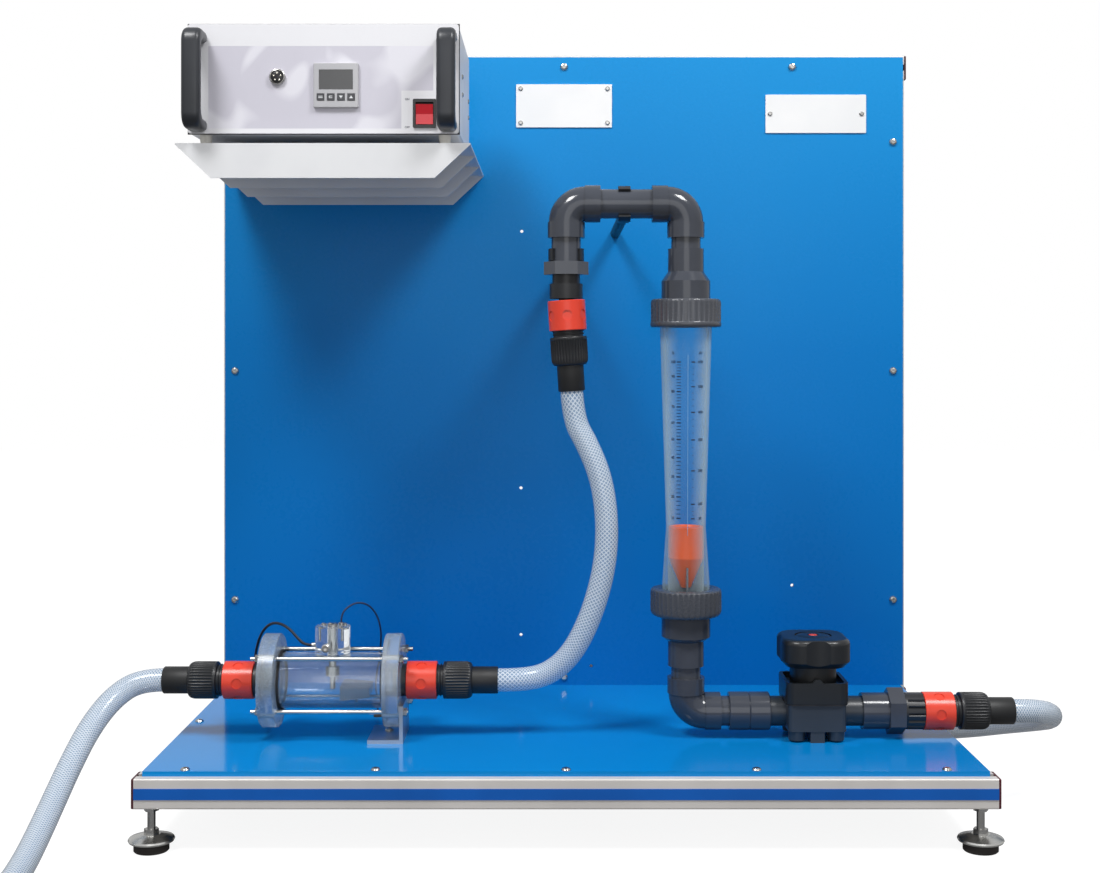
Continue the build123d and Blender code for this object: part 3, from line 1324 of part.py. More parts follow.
def laid_turn(centre, radius, first, step, count, height, rise):
    """Corner points of a hose turn that lies flat; its last corners rise to the end fitting's axis."""
    reach = radius / cos(radians(step / 2))
    corners = []
    for i in range(count):
        angle = radians(first + step * i)
        lift = rise * max(0, i + 4 - count) / 3
        corners.append((centre[0] + reach * cos(angle), centre[1] + reach * sin(angle), height + lift))
    return corners


# Hose between the meter's outlet and the upper coupling
loop_points = [hose_port(meter_site), hose_port(meter_site, 28), (-18, -72, 148), (4, -76, 167),
               (21, -79, 196), (35, -81, 234), (44, -81, 276), (45, -80, 320), (38.5, -78, 362),
               (24, -74, 397), hose_port(upper_site, 31.5), hose_port(upper_site)]
with BuildPart() as loop_hose:
    cord("loop_hose", loop_points, hose_diameter)
loop_hose.part.label = "loop_hose"
export_step(loop_hose.part, "parts/loop_hose.step")

# Supply hose: from the meter's inlet forward to the floor, then along the front of the bench
lying_z = 12.6
end_z = 16.1
coil_radius = 135.0
inlet_points = [hose_port(inlet_site), hose_port(inlet_site, 26.5), (-486, -88, 126), (-501, -120, 102),
                (-508, -162, 74), (-510, -208, 50), (-509, -255, 32), (-507, -300, 19.5),
                (-505.5, -345, lying_z)]
inlet_points += laid_turn((-370.5, -400), coil_radius, 195, 30, 3, lying_z, 0)
inlet_points += [(-310, -535, lying_z), (-240, -529, lying_z), (-170, -519, lying_z), (-100, -513, 13.8),
                 (-40, -512, 15), (20, -512, end_z), (69, -512, end_z)]
with BuildPart() as inlet_hose:
    cord("inlet_hose", inlet_points, hose_diameter)
inlet_hose.part.label = "inlet_hose"
export_step(inlet_hose.part, "parts/inlet_hose.step")

# Return hose: from the outlet round behind the bench to the floor, where it lies in a turn
outlet_points = [hose_port(outlet_site), hose_port(outlet_site, 20), (524, -62, 104), (537, -44, 96),
                 (541, -18, 87), (538, 12, 78), (529, 45, 68), (515, 80, 57), (499, 116, 45), (483, 152, 34),
                 (469, 190, 23), (463, 226, 15.5), (460, 268, lying_z), (458.6, 318, lying_z),
                 (458.2, 365, lying_z)]
outlet_points += laid_turn((323, 415), coil_radius, 15, 30, 9, lying_z, end_z - lying_z)
outlet_points.append((338, 280, end_z))
with BuildPart() as outlet_hose:
    cord("outlet_hose", outlet_points, hose_diameter)
outlet_hose.part.label = "outlet_hose"
export_step(outlet_hose.part, "parts/outlet_hose.step")

# Hose ends: connector bodies with a grooved neck, ribbed nut and tail, and plain threaded ends
neck_end = sleeve_length + neck_length
nut_end = neck_end + hose_nut_length
with BuildPart() as hose_connectors:
    shank, grip = coupling_body / 2, hose_nut_outer / 2
    waist = shank - neck_groove
    bore = spigot_outer / 2 + slide_play
    for site in (inlet_site, meter_site, upper_site, outlet_site):
        turn([(bore, sleeve_gap), (shank, sleeve_gap), (shank, sleeve_length + 1),
              (waist, sleeve_length + 1.8), (waist, sleeve_length + 3.2), (shank, sleeve_length + 4),
              (waist, sleeve_length + 5), (waist, neck_end), (grip, neck_end), (grip, nut_end - 4),
              (shank - 1, nut_end), (tail_outer / 2, nut_end), (tail_outer / 2, coupling_length),
              (tail_bore / 2, coupling_length), (tail_bore / 2, spigot_length + 1),
              (bore, spigot_length + 1)], site)
        grooves(site, hose_nut_outer, neck_end, nut_end, hose_nut_ribs)
    for end in (inlet_points[-1], outlet_points[-1]):
        place = facing(end[0], end[1], end[2], "+x")
        nut_low, nut_high = end_tail_length, end_tail_length + end_nut[1]
        ring(place, tail_bore, tail_outer, 0, nut_low)
        ring(place, tail_bore, end_nut[0], nut_low, nut_high)
        ring(place, tail_bore, end_thread[0], nut_high, nut_high + end_thread[1])
        grooves(place, end_nut[0], nut_low, nut_high, hose_nut_ribs)
hose_connectors.part.label = "hose_connectors"
export_step(hose_connectors.part, "parts/hose_connectors.step")

# Sensor leads from the head to the grommets
left_points = [(-275, -70, 179), (-283, -70, 179), (-291, -68, 186), (-300, -64, 195), (-311, -57, 200),
               (-323, -47, 199), (-334, -36, 190), (-342, -24, 176), (-348, -12, 158), (-351, -1, 140),
               (-350, 8, 122), (-344, 15, 106), (-337, 19, 93), (-336, 20, 84), (-336, 20, 76)]
with BuildPart() as wire_left:
    cord("wire_left", left_points, left_wire)
wire_left.part.label = "wire_left"
export_step(wire_left.part, "parts/wire_left.step")

gland_x, gland_y = top_gland.origin.X, top_gland.origin.Y
right_points = [(gland_x, gland_y, 203.1), (gland_x, gland_y, 210), (-239, -63, 218), (-228, -57, 223.5),
                (-216, -51, 220), (-207, -44, 207), (-203.5, -36, 187), (-206, -25, 163), (-211, -12, 140), (-214, 1, 120),
                (-215, 12, 103), (-214, 19, 90), (-214, 20, 83), (-214, 20, 76)]
with BuildPart() as wire_right:
    cord("wire_right", right_points, right_wire)
wire_right.part.label = "wire_right"
export_step(wire_right.part, "parts/wire_right.step")
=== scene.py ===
import json
import math

import bmesh
import bpy
from mathutils import Matrix, Vector

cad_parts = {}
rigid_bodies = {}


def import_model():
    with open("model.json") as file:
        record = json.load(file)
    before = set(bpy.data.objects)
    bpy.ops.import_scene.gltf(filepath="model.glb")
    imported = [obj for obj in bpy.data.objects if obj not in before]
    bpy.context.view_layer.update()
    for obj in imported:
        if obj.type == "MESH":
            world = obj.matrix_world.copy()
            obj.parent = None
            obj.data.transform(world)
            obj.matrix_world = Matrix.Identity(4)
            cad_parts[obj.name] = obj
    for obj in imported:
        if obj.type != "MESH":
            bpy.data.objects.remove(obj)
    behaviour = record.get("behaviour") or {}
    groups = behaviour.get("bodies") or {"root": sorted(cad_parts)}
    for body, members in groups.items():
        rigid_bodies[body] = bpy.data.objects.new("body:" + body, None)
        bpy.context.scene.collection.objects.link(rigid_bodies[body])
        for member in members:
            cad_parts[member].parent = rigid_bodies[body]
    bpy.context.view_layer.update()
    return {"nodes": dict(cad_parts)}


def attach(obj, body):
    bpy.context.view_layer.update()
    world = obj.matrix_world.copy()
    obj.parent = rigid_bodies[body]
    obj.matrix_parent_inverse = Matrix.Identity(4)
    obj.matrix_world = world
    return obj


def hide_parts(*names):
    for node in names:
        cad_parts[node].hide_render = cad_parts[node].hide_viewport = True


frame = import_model()
nodes = frame["nodes"]
print("frame loaded:", len(nodes), "nodes")

# Sizes are in millimetres here and in metres in Blender


def mm(*values):
    return Vector([v / 1000 for v in values])


# Camera at the photograph's place, level and looking to the back
cameraSetup = {"place": mm(-10, -1721, 495), "lens": 49.745, "sensor": 36, "shiftX": -0.0055, "shiftY": -0.075}

cameraData = bpy.data.cameras.new("photoCamera")
cameraData.lens = cameraSetup["lens"]
cameraData.sensor_width = cameraSetup["sensor"]
cameraData.shift_x = cameraSetup["shiftX"]
cameraData.shift_y = cameraSetup["shiftY"]
cameraData.clip_end = 50
camera = bpy.data.objects.new("photoCamera", cameraData)
camera.location = cameraSetup["place"]
camera.rotation_euler = (math.radians(90), 0, 0)
bpy.context.scene.collection.objects.link(camera)
bpy.context.scene.camera = camera
bpy.context.scene.view_settings.view_transform = "Standard"
print("camera placed")


# Materials
def hexToLinear(code):
    parts = [int(code[i:i + 2], 16) / 255 for i in (1, 3, 5)]
    return [c / 12.92 if c <= 0.04045 else ((c + 0.055) / 1.055) ** 2.4 for c in parts] + [1.0]


def addNode(tree, kind, settings=None, inputs=None):
    node = tree.nodes.new("ShaderNode" + kind)
    for key, value in (settings or {}).items():
        setattr(node, key, value)
    for key, value in (inputs or {}).items():
        if isinstance(value, bpy.types.NodeSocket):
            tree.links.new(value, node.inputs[key])
        else:
            node.inputs[key].default_value = value
    return node


def startMaterial(name):
    material = bpy.data.materials.new(name)
    material.use_nodes = True
    tree = material.node_tree
    tree.nodes.clear()
    shader = addNode(tree, "BsdfPrincipled")
    addNode(tree, "OutputMaterial", None, {"Surface": shader.outputs[0]})
    return material, tree, shader


def blendColours(tree, factor, first, second):
    mix = addNode(tree, "Mix", {"data_type": "RGBA"}, {0: factor, 6: first, 7: second})
    return mix.outputs[2]


def remap(tree, value, fromLow, fromHigh, toLow, toHigh):
    ramp = addNode(tree, "MapRange", {"clamp": True}, {0: value, 1: fromLow, 2: fromHigh, 3: toLow, 4: toHigh})
    return ramp.outputs[0]


def makeFinish(name, colours, rough, metal=0.0, grain=0.6, relief=0.02, stretch=(1, 1, 1), patch=70,
               roughSpread=0.08, coat=0.0, clear=0.0, ior=None, colour=None, shine=None):
    material, tree, shader = startMaterial(name)
    place = addNode(tree, "TexCoord").outputs["Object"]
    patches = addNode(tree, "TexNoise", None, {"Vector": place, "Scale": 1000 / patch, "Detail": 3.0})
    drawn = addNode(tree, "Mapping", None, {"Vector": place, "Scale": stretch})
    fine = addNode(tree, "TexNoise", None, {"Vector": drawn.outputs[0], "Scale": 1000 / grain, "Detail": 4.0})
    factor = remap(tree, patches.outputs[0], 0.35, 0.65, 0.0, 1.0)
    tint = colour(tree, place) if colour else blendColours(tree, factor, hexToLinear(colours[0]),
                                                           hexToLinear(colours[1]))
    tree.links.new(tint, shader.inputs["Base Color"])
    both = addNode(tree, "Math", {"operation": "ADD"}, {0: patches.outputs[0], 1: fine.outputs[0]})
    tree.links.new(remap(tree, both.outputs[0], 0.6, 1.4, rough - roughSpread, rough + roughSpread),
                   shader.inputs["Roughness"])
    bump = addNode(tree, "Bump", None, {"Strength": 0.5, "Distance": relief / 1000, "Height": fine.outputs[0]})
    tree.links.new(bump.outputs[0], shader.inputs["Normal"])
    shader.inputs["Metallic"].default_value = metal
    shader.inputs["Coat Weight"].default_value = coat
    shader.inputs["Transmission Weight"].default_value = clear
    if ior:
        shader.inputs["IOR"].default_value = ior
    if shine is not None:
        shader.inputs["Specular IOR Level"].default_value = shine
    return material


# What each finish is, and what it gives the eye
finishes = {
    # extruded and satin anodised: warm grey, fine lines along the beam
    "anodisedAluminiumX": {"colours": ("#DAD6D2", "#D0CCC8"), "rough": 0.42, "metal": 0.2, "grain": 0.5,
                           "relief": 0.02, "stretch": (0.01, 1, 1)},
    "anodisedAluminiumZ": {"colours": ("#D8D6D2", "#CECCC8"), "rough": 0.42, "metal": 0.2, "grain": 0.5,
                           "relief": 0.02, "stretch": (1, 1, 0.01)},
    # die-cast and tumbled
    "castAluminium": {"colours": ("#A9A8A6", "#8F8E8C"), "rough": 0.5, "metal": 0.9, "grain": 0.8, "relief": 0.06},
    # stainless screws, rods and the bent angle: rolled and washed
    "stainlessSteel": {"colours": ("#C8C7C5", "#B0AFAD"), "rough": 0.22, "metal": 1.0, "grain": 0.7,
                       "relief": 0.015},
    "foldedStainless": {"colours": ("#C0C2C6", "#A2A5AA"), "rough": 0.34, "metal": 0.9, "grain": 0.4,
                        "relief": 0.02, "stretch": (1, 0.02, 1)},
    # pressed and chromed foot plates
    "chromedSteel": {"colours": ("#DDDDDB", "#CFCFCC"), "rough": 0.24, "metal": 1.0, "grain": 1.5, "relief": 0.01,
                     "roughSpread": 0.05},
    "platedPins": {"colours": ("#E9E5DA", "#D9D4C6"), "rough": 0.25, "metal": 0.6},
    # injection moulded caps
    "burgundyPolyamide": {"colours": ("#521420", "#3F0F18"), "rough": 0.42, "grain": 0.3, "relief": 0.02},
    # extruded slot cover
    "blueStrip": {"colours": ("#145FBA", "#1058AE"), "rough": 0.38, "grain": 0.4, "relief": 0.015,
                  "stretch": (0.02, 1, 1), "shine": 0.2},
    # vulcanised rubber: dull, slightly brown where dusty; also used for the dark strip of painted shade round the
    # console's fascia
    "blackRubberAndPaintedShade": {"colours": ("#2A2624", "#1B1A1A"), "rough": 0.75, "grain": 0.5, "relief": 0.05, "patch": 20},
    "tailRubber": {"colours": ("#191A1C", "#131415"), "rough": 0.5, "grain": 0.5, "relief": 0.03, "patch": 20},
    # white engraved laminate
    "whiteLaminate": {"colours": ("#EAEAEA", "#E4E5E6"), "rough": 0.22, "grain": 0.5, "relief": 0.005, "coat": 0.3},
    # powder-coated sheet: fine orange peel
    "whitePowderCoat": {"colours": ("#DDDEE0", "#D6D7DA"), "rough": 0.42, "grain": 1.2, "relief": 0.03},
    "greyPowderCoat": {"colours": ("#CDD0D5", "#C4C7CD"), "rough": 0.45, "grain": 1.2, "relief": 0.04},
    # glass-filled polyamide of the handles: black with a soft sheen
    "blackPolyamide": {"colours": ("#2B2E34", "#212429"), "rough": 0.36, "grain": 0.35, "relief": 0.03},
    # ABS housing of the indicator
    "greyAbs": {"colours": ("#B9B9BC", "#ADADB1"), "rough": 0.4, "grain": 0.3, "relief": 0.02},
    "darkKeyRubber": {"colours": ("#4A4B4F", "#3E3F43"), "rough": 0.5, "grain": 0.3, "relief": 0.02},
    # smoked acrylic window, dark while the display is off
    "smokedWindow": {"colours": ("#3E3F41", "#343537"), "rough": 0.08, "grain": 3, "relief": 0.002,
                     "roughSpread": 0.03, "coat": 0.5},
    "blackAbs": {"colours": ("#1D1D20", "#151517"), "rough": 0.3, "grain": 0.3, "relief": 0.015},
    # polycarbonate rocker, tinted through
    "redPolycarbonate": {"colours": ("#D3192B", "#C01424"), "rough": 0.2, "grain": 1, "relief": 0.004, "coat": 0.4},
    # glass-filled polypropylene hose fittings: near black, satin
    "blackPolypropylene": {"colours": ("#1E2024", "#16181B"), "rough": 0.4, "grain": 0.4, "relief": 0.04},
    "redSleevePlastic": {"colours": ("#E8452F", "#DE3F2A"), "rough": 0.32, "grain": 0.5, "relief": 0.01},
    # grey PVC-U: moulded fittings and extruded pipe with a wet-looking gloss
    "pvcFitting": {"colours": ("#40444D", "#383C45"), "rough": 0.14, "roughSpread": 0.04, "grain": 4, "relief": 0.008},
    "pvcPipe": {"colours": ("#454952", "#3D414A"), "rough": 0.13, "roughSpread": 0.03, "grain": 5, "relief": 0.006},
    "pvcNut": {"colours": ("#4A4D54", "#42454C"), "rough": 0.26, "grain": 3.0, "relief": 0.01},
    # polypropylene clips
    "clipPolypropylene": {"colours": ("#1E2024", "#17191C"), "rough": 0.42, "grain": 0.5, "relief": 0.03},
    "orangeFloat": {"colours": ("#FF6A18", "#F96212"), "rough": 0.35, "grain": 0.6, "relief": 0.01},
    "valvePvc": {"colours": ("#31373F", "#2A3037"), "rough": 0.32, "grain": 1.0, "relief": 0.03},
    "valveBlack": {"colours": ("#191C20", "#121518"), "rough": 0.34, "grain": 0.5, "relief": 0.03},
    "redIndicator": {"colours": ("#D2452E", "#C03C27"), "rough": 0.35},
    # cast acrylic, polished
    "clearAcrylic": {"colours": ("#EDF1F3", "#E4EAEE"), "rough": 0.04, "grain": 4, "relief": 0.004,
                     "roughSpread": 0.02, "clear": 0.94, "ior": 1.49},
    # turned acrylic flanges: the saw and lathe leave them slightly frosted
    "turnedAcrylic": {"colours": ("#DCE4EA", "#CBD6DE"), "rough": 0.22, "grain": 0.6, "relief": 0.03,
                      "clear": 0.74, "ior": 1.49},
    "greyAcrylic": {"colours": ("#9DA9B5", "#8D99A6"), "rough": 0.2, "clear": 0.5, "ior": 1.49},
    "leadSheath": {"colours": ("#15182A", "#101220"), "rough": 0.45, "grain": 0.4, "relief": 0.02},
    "blueSheath": {"colours": ("#0C2250", "#091A40"), "rough": 0.45, "grain": 0.4, "relief": 0.02},
    "printInk": {"colours": ("#10233F", "#0C1B32"), "rough": 0.5},
    "whitePrint": {"colours": ("#E6E8EA", "#DADDE0"), "rough": 0.5},
    # pale blue line down the front of the tapered tube
    "paleFrontLine": {"colours": ("#86B4D6", "#78A8CC"), "rough": 0.2},
}
finish = {name: makeFinish(name, **values) for name, values in finishes.items()}


# Laminate of the back panel: cyan blue, with painted light: paler towards the top, where the room's light and its
# reflection fall
panelPaintedLightTones = {"top": "#1C8DD0", "middle": "#0678C2", "bottom": "#036DBA"}


def panelColourWithPaintedLight(tree, place):
    # painted light: the colour runs from bottom to middle to top by height, so the top looks lit
    height = addNode(tree, "SeparateXYZ", None, {0: place}).outputs[2]
    cloud = addNode(tree, "TexNoise", None, {"Vector": place, "Scale": 2.2, "Detail": 1.0}).outputs[0]
    shifted = addNode(tree, "Math", {"operation": "MULTIPLY_ADD"}, {0: cloud, 1: 0.25, 2: height}).outputs[0]
    lower = blendColours(tree, remap(tree, shifted, 0.25, 0.65, 0, 1), hexToLinear(panelPaintedLightTones["bottom"]),
                         hexToLinear(panelPaintedLightTones["middle"]))
    return blendColours(tree, remap(tree, shifted, 0.6, 1.0, 0, 1), lower, hexToLinear(panelPaintedLightTones["top"]))


finish["panelLaminate"] = makeFinish("panelLaminate", None, 0.28, grain=6, relief=0.006, roughSpread=0.04,
                                     colour=panelColourWithPaintedLight, shine=0.12)
finish["baseLaminate"] = makeFinish("baseLaminate", ("#0A86CF", "#0780C9"), 0.12, grain=8, relief=0.006,
                                    patch=300, roughSpread=0.03, shine=0.25)

# Printed film on the fascia: white, with a lilac-grey field of soft swirls and a white corner at the switch
fasciaPrint = {"left": -0.382, "right": -0.1413, "low": 0.7362, "high": 0.8245, "cornerX": -0.1755,
               "cornerZ": 0.7768, "white": "#DEDEE2", "lilac": "#C4C2CD", "pale": "#D8D7DF"}


def stepAbove(tree, value, edge):
    return remap(tree, value, edge - 0.0002, edge + 0.0002, 0, 1)


def fasciaColour(tree, place):
    axes = addNode(tree, "SeparateXYZ", None, {0: place})
    across, up = axes.outputs[0], axes.outputs[2]
    bend = addNode(tree, "TexNoise", None, {"Vector": place, "Scale": 9.0, "Detail": 0.5, "Distortion": 2.4})
    swirl = remap(tree, bend.outputs[0], 0.52, 0.62, 0, 1)
    field = blendColours(tree, swirl, hexToLinear(fasciaPrint["lilac"]), hexToLinear(fasciaPrint["pale"]))
    inside = [stepAbove(tree, across, fasciaPrint["left"]), stepAbove(tree, up, fasciaPrint["low"])]
    for value, edge in ((across, fasciaPrint["right"]), (up, fasciaPrint["high"])):
        inside.append(addNode(tree, "Math", {"operation": "SUBTRACT"},
                              {0: 1.0, 1: stepAbove(tree, value, edge)}).outputs[0])
    corner = addNode(tree, "Math", {"operation": "MULTIPLY"}, {
        0: stepAbove(tree, across, fasciaPrint["cornerX"]),
        1: addNode(tree, "Math", {"operation": "SUBTRACT"},
                   {0: 1.0, 1: stepAbove(tree, up, fasciaPrint["cornerZ"])}).outputs[0]})
    inside.append(addNode(tree, "Math", {"operation": "SUBTRACT"}, {0: 1.0, 1: corner.outputs[0]}).outputs[0])
    mask = inside[0]
    for part in inside[1:]:
        mask = addNode(tree, "Math", {"operation": "MULTIPLY"}, {0: mask, 1: part}).outputs[0]
    return blendColours(tree, mask, hexToLinear(fasciaPrint["white"]), field)


finish["fasciaFilm"] = makeFinish("fasciaFilm", None, 0.3, grain=0.5, relief=0.004, coat=0.2, colour=fasciaColour)

# Rubber feet: black brown on the floor, cream under the console
footRubber = {"black": "#2A2624", "cream": "#D6D3CB", "split": 0.4}


def footColour(tree, place):
    height = addNode(tree, "SeparateXYZ", None, {0: place}).outputs[2]
    return blendColours(tree, stepAbove(tree, height, footRubber["split"]), hexToLinear(footRubber["black"]),
                        hexToLinear(footRubber["cream"]))


finish["footRubber"] = makeFinish("footRubber", None, 0.7, grain=0.5, relief=0.05, colour=footColour)

# Sensor socket: a turned nickel ring round a black insert
socketPlace = {"x": -0.3079, "z": 0.7912, "ring": 0.00465}


def socketMask(tree):
    place = addNode(tree, "TexCoord").outputs["Object"]
    flat = addNode(tree, "VectorMath", {"operation": "MULTIPLY"}, {0: place, 1: (1, 0, 1)})
    gap = addNode(tree, "VectorMath", {"operation": "DISTANCE"},
                  {0: flat.outputs[0], 1: (socketPlace["x"], 0, socketPlace["z"])})
    return stepAbove(tree, gap.outputs["Value"], socketPlace["ring"])


socketFinish, tree, shader = startMaterial("nickelAndBlack")
ringMask = socketMask(tree)
tree.links.new(blendColours(tree, ringMask, hexToLinear("#101012"), hexToLinear("#B5B3B0")),
               shader.inputs["Base Color"])
tree.links.new(ringMask, shader.inputs["Metallic"])
shader.inputs["Roughness"].default_value = 0.25
finish["nickelAndBlack"] = socketFinish


# Reinforced clear PVC hose: white yarn crossing in diamonds inside a bluish clear wall
def makeHoseFinish(name, length):
    yarn = {"aroundCount": 16, "pitch": 4.0, "width": 0.24}
    material, tree, shader = startMaterial(name)
    grid = addNode(tree, "SeparateXYZ", None, {0: addNode(tree, "TexCoord").outputs["UV"]})
    along = addNode(tree, "Math", {"operation": "MULTIPLY"}, {0: grid.outputs[0], 1: length / yarn["pitch"]})
    around = addNode(tree, "Math", {"operation": "MULTIPLY"}, {0: grid.outputs[1], 1: yarn["aroundCount"]})
    threads = []
    for sign in ("ADD", "SUBTRACT"):
        phase = addNode(tree, "Math", {"operation": sign}, {0: along.outputs[0], 1: around.outputs[0]})
        wave = addNode(tree, "Math", {"operation": "PINGPONG"}, {0: phase.outputs[0], 1: 0.5})
        threads.append(remap(tree, wave.outputs[0], yarn["width"] / 2, yarn["width"] / 2 + 0.08, 1, 0))
    thread = addNode(tree, "Math", {"operation": "MAXIMUM"}, {0: threads[0], 1: threads[1]}).outputs[0]
    tree.links.new(blendColours(tree, thread, hexToLinear("#8DABC9"), hexToLinear("#D5DDE6")),
                   shader.inputs["Base Color"])
    tree.links.new(remap(tree, thread, 0, 1, 0.6, 0.92), shader.inputs["Alpha"])
    bump = addNode(tree, "Bump", None, {"Strength": 0.4, "Distance": 0.0002, "Height": thread})
    tree.links.new(bump.outputs[0], shader.inputs["Normal"])
    shader.inputs["Roughness"].default_value = 0.22
    shader.inputs["Coat Weight"].default_value = 0.4
    shader.inputs["Coat Roughness"].default_value = 0.12
    return material


# Moulded transparent polyamide of the tapered tube: pale and milky, denser where the wall is seen edge on
milkyWall = {"colour": "#C2DBE6", "facing": 0.03, "edge": 0.72}
milkyFinish, tree, shader = startMaterial("clearPolyamide")
place = addNode(tree, "TexCoord").outputs["Object"]
flow = addNode(tree, "TexNoise", None, {"Vector": place, "Scale": 60.0, "Detail": 2.0}).outputs[0]
facing = addNode(tree, "LayerWeight", None, {"Blend": 0.35}).outputs["Facing"]
cloudy = addNode(tree, "Math", {"operation": "MULTIPLY_ADD"}, {0: flow, 1: 0.06, 2: facing}).outputs[0]
tree.links.new(remap(tree, cloudy, 0.05, 0.9, milkyWall["facing"], milkyWall["edge"]), shader.inputs["Alpha"])
tree.links.new(remap(tree, flow, 0.3, 0.7, 0.08, 0.16), shader.inputs["Roughness"])
shader.inputs["Base Color"].default_value = hexToLinear(milkyWall["colour"])
finish["clearPolyamide"] = milkyFinish

print("materials made:", len(bpy.data.materials))

# CAD nodes that keep their shape get their real finish
nodeFinish = {
    "anodisedAluminiumX": ["base_beams"],
    "anodisedAluminiumZ": ["back_beams"],
    "castAluminium": ["corner_brackets"],
    "stainlessSteel": ["screws", "foot_studs", "tie_rods", "sensor_probe", "head_fittings"],
    "foldedStainless": ["meter_bracket"],
    "chromedSteel": ["foot_discs"],
    "platedPins": ["socket_pins"],
    "burgundyPolyamide": ["beam_end_caps"],
    "blueStrip": ["slot_cover_strip"],
    "blackRubberAndPaintedShade": ["rubber_seals", "cable_grommets"],
    "footRubber": ["rubber_feet"],
    "whiteLaminate": ["name_plates"],
    "whitePowderCoat": ["console_shelf"],
    "greyPowderCoat": ["console_case"],
    "fasciaFilm": ["console_fascia"],
    "blackPolyamide": ["console_handles"],
    "greyAbs": ["panel_meter"],
    "darkKeyRubber": ["meter_button_1", "meter_button_2", "meter_button_3", "meter_button_4"],
    "smokedWindow": ["display_window"],
    "blackAbs": ["switch_frame", "mains_inlet"],
    "redPolycarbonate": ["power_rocker"],
    "nickelAndBlack": ["sensor_socket"],
    "blackPolypropylene": ["coupling_nipples", "hose_connectors"],
    "redSleevePlastic": ["sleeve_inlet", "sleeve_meter_outlet", "sleeve_upper", "sleeve_outlet"],
    "pvcFitting": ["pipe_fittings", "union_reducers"],
    "pvcPipe": ["pipes"],
    "pvcNut": ["union_nuts"],
    "clipPolypropylene": ["pipe_clips"],
    "orangeFloat": ["rotameter_float"],
    "valvePvc": ["valve_body"],
    "valveBlack": ["valve_bonnet", "handwheel"],
    "redIndicator": ["valve_spindle"],
    "clearAcrylic": ["clear_tube", "sensor_head"],
    "turnedAcrylic": ["end_flanges"],
    "greyAcrylic": ["shedder_bar", "float_stop"],
    "clearPolyamide": ["rotameter_tube"],
    "panelLaminate": ["back_panel"],
    "baseLaminate": ["base_plate"],
    "leadSheath": ["wire_left"],
    "blueSheath": ["wire_right"],
    "whitePrint": ["loop_hose", "inlet_hose", "outlet_hose"],
}
for name, members in nodeFinish.items():
    for member in members:
        piece = nodes[member]
        if not piece.material_slots:
            piece.data.materials.append(None)
        for materialSlot in piece.material_slots:
            materialSlot.material = finish[name]
print("CAD nodes finished:", sum(len(members) for members in nodeFinish.values()))


# Building pieces
def makePiece(name, mesh, material, body, replaced=(), smooth=True):
    piece = bpy.data.objects.new(name, mesh)
    bpy.context.scene.collection.objects.link(piece)
    mesh.materials.append(material)
    if smooth:
        mesh.shade_smooth()
    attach(piece, body)
    if replaced:
        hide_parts(*replaced)
    return piece


def meshFrom(name, points, faces):
    mesh = bpy.data.meshes.new(name)
    mesh.from_pydata([tuple(p) for p in points], [], faces)
    mesh.validate()
    work = bmesh.new()
    work.from_mesh(mesh)
    bmesh.ops.remove_doubles(work, verts=work.verts, dist=1e-7)
    bmesh.ops.recalc_face_normals(work, faces=work.faces)
    work.to_mesh(mesh)
    work.free()
    return mesh


def turnedMesh(name, origin, way, profile, ribs=0, ribDepth=0.0, ribZone=(0, 0), around=96, ribShape=1.0):
    way = Vector(way).normalized()
    side = way.orthogonal().normalized()
    other = way.cross(side)
    points, faces = [], []
    rows = len(profile)
    for k in range(around):
        angle = 2 * math.pi * k / around
        out = side * math.cos(angle) + other * math.sin(angle)
        dip = ribDepth * abs(math.sin(ribs * angle / 2)) ** ribShape if ribs else 0
        for radius, height in profile:
            ribbed = ribs and ribZone[0] <= height <= ribZone[1]
            points.append(origin + (way * height + out * (radius - (dip if ribbed else 0))) / 1000)
    for k in range(around):
        for i in range(rows):
            a, b = k * rows + i, k * rows + (i + 1) % rows
            c, d = ((k + 1) % around) * rows + (i + 1) % rows, ((k + 1) % around) * rows + i
            faces.append((a, b, c, d))
    return meshFrom(name, points, faces)


def sharpen(piece, degrees=35):
    work = bmesh.new()
    work.from_mesh(piece.data)
    for edge in work.edges:
        if len(edge.link_faces) == 2 and edge.calc_face_angle(0) > math.radians(degrees):
            edge.smooth = False
    work.to_mesh(piece.data)
    work.free()


# Hoses and leads: the same routes as the solids, as smooth NURBS curves
tiltWay = Vector((math.sin(math.radians(3.5)), 0, -math.cos(math.radians(3.5))))


def laidTurn(centre, first, step, count, height, rise, radius=135):
    reach = radius / math.cos(math.radians(step / 2))
    corners = []
    for i in range(count):
        angle = math.radians(first + step * i)
        corners.append((centre[0] + reach * math.cos(angle), centre[1] + reach * math.sin(angle),
                        height + rise * max(0, i + 4 - count) / 3))
    return corners


